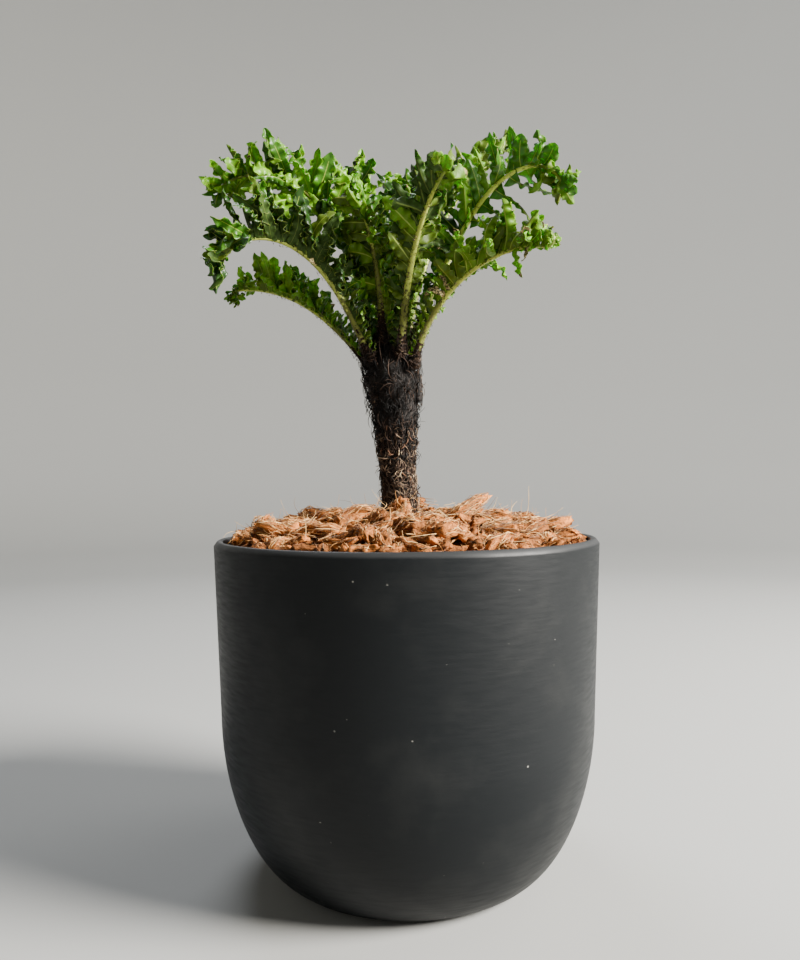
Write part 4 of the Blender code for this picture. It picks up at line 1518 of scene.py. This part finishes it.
def stalk_materials(settings):
    """Living stalks, waxy and half glossy, and their scaly feet, matt and brown; all have uneven skin."""
    return [
        grained_material(*stalk, relief=(0.7, 0.12, 3.0), shades=(0.7, 1.08), patches=(2.0, 0.32, 0.55))[0]
        for stalk in (
            ("Yellow-green Fern Stalk", settings.rib, 0.42, 0.35),
            ("Browning Fern Stalk", blend(settings.rib, settings.rib_foot, 0.64), 0.6, 0.25),
            ("Scaly Brown Stalk Foot", settings.rib_foot, 0.85, 0.08),
            ("Green Fern Stalk", blend(settings.rib, settings.fresh, 0.5), 0.42, 0.35),
            # A paler copy of the stalk: painted light
            ("Pale Underside of a Fern Stalk", shade(settings.rib, 1.7), 0.42, 0.35),
        )
    ]


def rib_points(frond):
    """Rings of points down a rib: grooved above, flared at its foot and narrowed at its end."""
    path = rib_path(frond)
    turn = np.arange(RIB_SIDES) * math.tau / RIB_SIDES
    groove = 1.0 - 0.3 * np.exp(-(((turn - math.pi / 2.0) / 0.5) ** 2))
    rings = []
    for station in range(RIB_STATIONS):
        share = rib_end(frond) * station / (RIB_STATIONS - 1)
        along, across, up = frond_frame(frond, share)
        flare = 1.0 + 0.5 * math.exp(-share / RIB_FLARE)
        radius = rib_radius(share) * flare * (0.95 if station < RIB_STATIONS - 1 else 0.4)
        sunk = along * RIB_SINK if station == 0 else Vector()
        ring = np.outer(np.cos(turn) * groove, across) + np.outer(np.sin(turn) * groove * 0.92, up)
        rings.append(np.array(on_path(path, share) - sunk) + ring * radius)
    return np.concatenate(rings)


def rib_looks(frond):
    """The look of each face down a rib: brown at its foot, then plain or painted paler, and green near its
    tip.
    """
    draw = random.Random(frond.name + "rib")
    # Inside the crown the ribs stay brown further up: partly scales, partly painted shade
    inner = frond.seat < 0.0065
    scales_and_shade_reach = 2.2 if inner else 1.0
    # The rib of the frond that is turned over is painted paler where it lies in shade: painted light
    plain = PAINTED_LIGHT_STALK if abs(frond.roll) > 90 else STALK
    looks = []
    for station in range(RIB_STATIONS - 1):
        for _ in range(RIB_SIDES):
            share = station / (RIB_STATIONS - 1) + draw.gauss(0.0, 0.03)
            if share < SCALY_TO * scales_and_shade_reach:
                looks.append(SCALY_STALK)
            elif share < BROWN_TO * scales_and_shade_reach:
                looks.append(BROWNING_STALK)
            else:
                looks.append(GREEN_STALK if share > GREEN_FROM else plain)
    return looks + [SCALY_STALK, GREEN_STALK]


class FERN_OT_ribs(bpy.types.Operator):
    """Draws the rib of each frond, grooved above and brown at its foot"""

    bl_idname = "fern.ribs"
    bl_label = "Ribs"

    def execute(self, context):
        coats = stalk_materials(context.scene.fern_frond)
        # A rib's rings run the other way round than a strand's, so its faces are turned over
        quads = np.roll(tube_faces(RIB_STATIONS, RIB_SIDES)[:, ::-1], 1, axis=1)
        foot = np.arange(RIB_SIDES)
        caps = np.stack([foot, (RIB_STATIONS - 1) * RIB_SIDES + foot[::-1]])
        for frond in FRONDS:
            rib = mesh_piece("rib_" + frond.name, rib_points(frond), [quads, caps], coats, rib_looks(frond))
            stand_for(rib, "frond_leaf", "frond_" + frond.name)
        return {"FINISHED"}


def leaf_materials(settings):
    """Leaves in the order of their looks: young ones let more light through, and old ones are glossier.

    The bright and deep greens are partly leaf age, partly painted light and shade.
    """
    return [
        leaf_material(*leaf)
        for leaf in (
            ("Young Fern Leaf", settings.bright, 0.4, 0.18, 0.12, 0.08),
            ("Fresh Fern Leaf", settings.fresh, 0.4, 0.2, 0.08, 0.1),
            ("Deep Green Fern Leaf", settings.deep, 0.38, 0.24, 0.04, 0.14),
            ("Young Leaf Underside", blend(settings.bright, settings.under_pale, 0.5), 0.5, 0.16, 0.12, 0.0),
            ("Fresh Leaf Underside", settings.under_pale, 0.5, 0.16, 0.08, 0.0),
            ("Grey-green Leaf Underside", settings.under_grey, 0.56, 0.1, 0.04, 0.0),
            ("Pale Leaflet Midrib", settings.midrib, 0.42, 0.25, 0.1, 0.0),
            ("Dried Leaf Tip", settings.browned, 0.85, 0.1, 0.0, 0.0),
            ("Shaded Leaflet Midrib", blend(settings.midrib, settings.under_grey, 0.67), 0.5, 0.2, 0.1, 0.0),
            ("Withered Brown Leaf", shade(settings.browned, 0.16), 0.8, 0.1, 0.0, 0.0),
        )
    ]


Stand = namedtuple("Stand", "side share spacing spread single")


def leaflet_stands(frond, settings):
    """Where leaflets stand on a frond: by the rule, two more on each side of the tip, then single ones."""
    stands = []
    for side in (-1, 1):
        shares = leaflet_shares(frond, side, settings)
        befores = [shares[0] - 0.03] + shares[:-1]
        for before, share in zip(befores, shares):
            stands.append(Stand(side, share, (share - before) * frond.length, 0.0, None))
    if not frond.coil:
        stands += [Stand(side, 0.992, 0.002, spread, None) for spread in (14.0, 44.0) for side in (-1, 1)]
    for name, side, share, *single in SINGLE_LEAFLETS:
        if name == frond.name:
            stands.append(Stand(side, share, 0.002, 0.0, single))
    return stands


def leaflet_looks(tint, length, rows, columns, dry):
    """The looks of a leaflet's upper and lower faces; dry is the row where a dried end starts, and a seed."""
    upper = np.full((rows - 1, columns - 1), tint)
    lower = np.full((rows - 1, columns - 1), tint + UNDERSIDE)
    if length > RIBBED_LEAFLET:
        middle = columns // 2 - 1
        upper[: int(rows * 0.8), middle] = MIDRIB
        lower[: int(rows * 0.8), middle] = SHADED_MIDRIB if tint == DEEP else MIDRIB
    if dry:
        start, seed = dry
        size = (rows - 1 - start, columns - 1)
        withered = np.random.default_rng(seed).choice((DRIED, WITHERED), size, p=(0.55, 0.45))
        upper[start:] = withered
        lower[start:] = withered
    return upper, lower


def grow_leaflets(frond, settings, coats):
    """All leaflets of one frond, joined."""
    draw = random.Random(frond.name)
    path = rib_path(frond)
    points, quads, looks, offset = [], [], [], 0
    for number, (side, share, spacing, spread, single) in enumerate(leaflet_stands(frond, settings)):
        length = leaflet_length(frond, share, side) * draw.uniform(0.86, 1.16)
        if share > TIP_FROM:
            least = COIL_LEAFLET if frond.coil else TIP_LEAFLET
            length = max(length, least * draw.uniform(0.75, 1.2))
        pose = leaflet_pose(frond, share, side, length, draw, spread)
        # Bright, fresh and deep greens are dealt by each frond's shares: partly leaf age, partly painted
        # light and shade
        pick = draw.random() + 0.25 * (0.5 - share)
        tint = BRIGHT if pick < frond.bright else FRESH if pick < frond.bright + frond.fresh else DEEP
        if single:
            length, *pose, tint = single
        skins = leaflet_mesh(frond, path, share, spacing, side, length, pose, draw, settings)
        rows, columns = skins[0].shape[:2]
        dry = None
        if tint == DRIED:
            dry = (0, number)
        elif draw.random() < frond.browned:
            dry = (int(rows * draw.uniform(0.78, 0.93)), number)
        upper, lower, rim = skin_faces(rows, columns, side, offset)
        upper_looks, lower_looks = leaflet_looks(tint, length, rows, columns, dry)
        points += [skin.reshape(-1, 3) for skin in skins]
        quads += [upper, lower, rim]
        # The rim round each leaflet takes the pale midrib colour: partly a pale margin, partly a painted
        # highlight
        looks += [upper_looks.ravel(), lower_looks.ravel(), np.full(len(rim), MIDRIB)]
        offset += 2 * rows * columns
    points, quads, looks = (np.concatenate(group) for group in (points, quads, looks))
    leaves = mesh_piece("leaflets_" + frond.name, points, [quads], coats, looks)
    stand_for(leaves, "frond_leaf", "frond_" + frond.name)


class FERN_OT_leaflets(bpy.types.Operator):
    """Grows the crisped leaflets down both sides of each rib"""

    bl_idname = "fern.leaflets"
    bl_label = "Leaflets"

    def execute(self, context):
        settings = context.scene.fern_frond
        coats = leaf_materials(settings)
        for frond in FRONDS:
            grow_leaflets(frond, settings, coats)
        return {"FINISHED"}


# Stage: the floor's outline, the lights and the camera

FLOOR_PROFILE = (
    (0.5, 0.0),
    (1.2, 0.0),
    (1.5, 0.02),
    (1.7, 0.09),
    (1.84, 0.22),
    (1.92, 0.42),
    (1.95, 0.8),
    (1.95, 2.4),
    (1.0, 2.4),
)
# Lights: name, place, what they are aimed at, width, power in watts and colour
LIGHTS = (
    ("window_light", (1.2, -0.42, 0.75), (0.0, 0.0, 0.2), 0.6, 157.0, "#fffaf3"),
    ("top_light", (-0.25, 0.6, 1.25), (0.0, 0.0, 0.2), 0.6, 14.0, "#f4f7ff"),
    ("wall_light", (1.0, 0.5, 1.7), (0.7, 1.9, 0.3), 1.2, 19.0, "#ffffff"),
)
AIR_COLOUR = "#dfe3e8"
AIR_STRENGTH = 0.03
SENSOR_HEIGHT = 36.0


def studio_paper_material():
    """Pale studio paper, rolled matt: it spreads the light and shows no shine."""
    return new_material("Matt Pale Studio Paper", linear("#939492"), roughness=0.9, specular=0.1)[0]


def lay_floor():
    """A plain floor that curves up all round, open at the top."""
    floor = turned_piece("studio_floor", FLOOR_PROFILE, steps=96)
    bpy.context.view_layer.objects.active = floor
    bpy.ops.object.mode_set(mode="EDIT")
    bpy.ops.mesh.select_all(action="DESELECT")
    bpy.ops.object.mode_set(mode="OBJECT")
    top = max(vertex.co.z for vertex in floor.data.vertices)
    for vertex in floor.data.vertices:
        vertex.select = vertex.co.z > top - 0.01 and vertex.co.xy.length < 0.01
    bpy.ops.object.mode_set(mode="EDIT")
    bpy.ops.mesh.select_mode(type="VERT")
    bpy.ops.mesh.delete(type="VERT")
    bpy.ops.object.mode_set(mode="OBJECT")
    smooth_shade(floor, degrees=60)
    floor.data.materials.append(studio_paper_material())


def hang_lights(collection):
    """Round area lights, aimed."""
    for name, place, aim, size, power, colour in LIGHTS:
        lamp = bpy.data.lights.new(name, "AREA")
        lamp.shape = "DISK"
        lamp.size = size
        lamp.energy = power
        lamp.color = linear(colour)
        light = bpy.data.objects.new(name, lamp)
        light.location = place
        light.rotation_euler = (Vector(aim) - Vector(place)).to_track_quat("-Z", "Y").to_euler()
        collection.objects.link(light)


def studio_air():
    """A faint, cool light from all sides."""
    world = bpy.data.worlds.new("studio_air")
    world.use_nodes = True
    background = world.node_tree.nodes["Background"]
    background.inputs["Color"].default_value = (*linear(AIR_COLOUR), 1.0)
    background.inputs["Strength"].default_value = AIR_STRENGTH
    return world


def photo_camera():
    """The photograph's camera."""
    lens = bpy.data.cameras.new("photo_camera")
    lens.sensor_fit = "VERTICAL"
    lens.sensor_height = SENSOR_HEIGHT
    lens.lens = SENSOR_HEIGHT * PHOTO_FOCAL / PHOTO_HEIGHT
    lens.clip_start = 0.01
    camera = bpy.data.objects.new("photo_camera", lens)
    turn = Matrix.Identity(3)
    for angle, axis in CAMERA_TURNS:
        turn = turn @ Matrix.Rotation(angle, 3, axis)
    right, forward, upward = turn.col
    facing = Matrix((right, upward, -forward)).transposed().to_4x4()
    camera.matrix_world = Matrix.Translation(CAMERA_PLACE) @ facing
    return camera


class FERN_OT_stage(bpy.types.Operator):
    """Sets the plain floor, the studio light and the camera of the photograph"""

    bl_idname = "fern.stage"
    bl_label = "Floor, Light and Camera"

    def execute(self, context):
        lay_floor()
        hang_lights(context.collection)
        context.scene.world = studio_air()
        context.scene.camera = photo_camera()
        context.collection.objects.link(context.scene.camera)
        return {"FINISHED"}


class FERN_PT_panel(bpy.types.Panel):
    """Lists the pieces in the order in which they are built"""

    bl_label = "Dwarf Tree Fern"
    bl_idname = "FERN_PT_panel"
    bl_space_type = "VIEW_3D"
    bl_region_type = "UI"
    bl_category = "Fern"

    def draw(self, context):
        for group in SETTINGS:
            box = self.layout.box()
            values = getattr(context.scene, group)
            for name in values.__annotations__:
                box.prop(values, name)
        for operator in OPERATORS:
            self.layout.operator(operator.bl_idname)


SETTINGS = {
    "fern_pot": FernPotSettings,
    "fern_mulch": FernMulchSettings,
    "fern_trunk": FernTrunkSettings,
    "fern_frond": FernFrondSettings,
}
OPERATORS = (
    FERN_OT_pot,
    FERN_OT_medium,
    FERN_OT_mulch,
    FERN_OT_trunk,
    FERN_OT_hair,
    FERN_OT_ribs,
    FERN_OT_leaflets,
    FERN_OT_stage,
)


def register():
    """Adds the operators, the panel and the settings to Blender."""
    for settings in SETTINGS.values():
        bpy.utils.register_class(settings)
    for operator in OPERATORS:
        bpy.utils.register_class(operator)
    bpy.utils.register_class(FERN_PT_panel)
    for name, settings in SETTINGS.items():
        setattr(bpy.types.Scene, name, PointerProperty(type=settings))


def unregister():
    """Takes them out again."""
    for name in SETTINGS:
        delattr(bpy.types.Scene, name)
    bpy.utils.unregister_class(FERN_PT_panel)
    for operator in reversed(OPERATORS):
        bpy.utils.unregister_class(operator)
    for settings in SETTINGS.values():
        bpy.utils.unregister_class(settings)


def main():
    """Builds every piece in order."""
    register()
    bpy.ops.fern.pot()
    bpy.ops.fern.medium()
    bpy.ops.fern.mulch()
    bpy.ops.fern.trunk()
    bpy.ops.fern.hair()
    bpy.ops.fern.ribs()
    bpy.ops.fern.leaflets()
    bpy.ops.fern.stage()


if __name__ == "__main__":
    main()
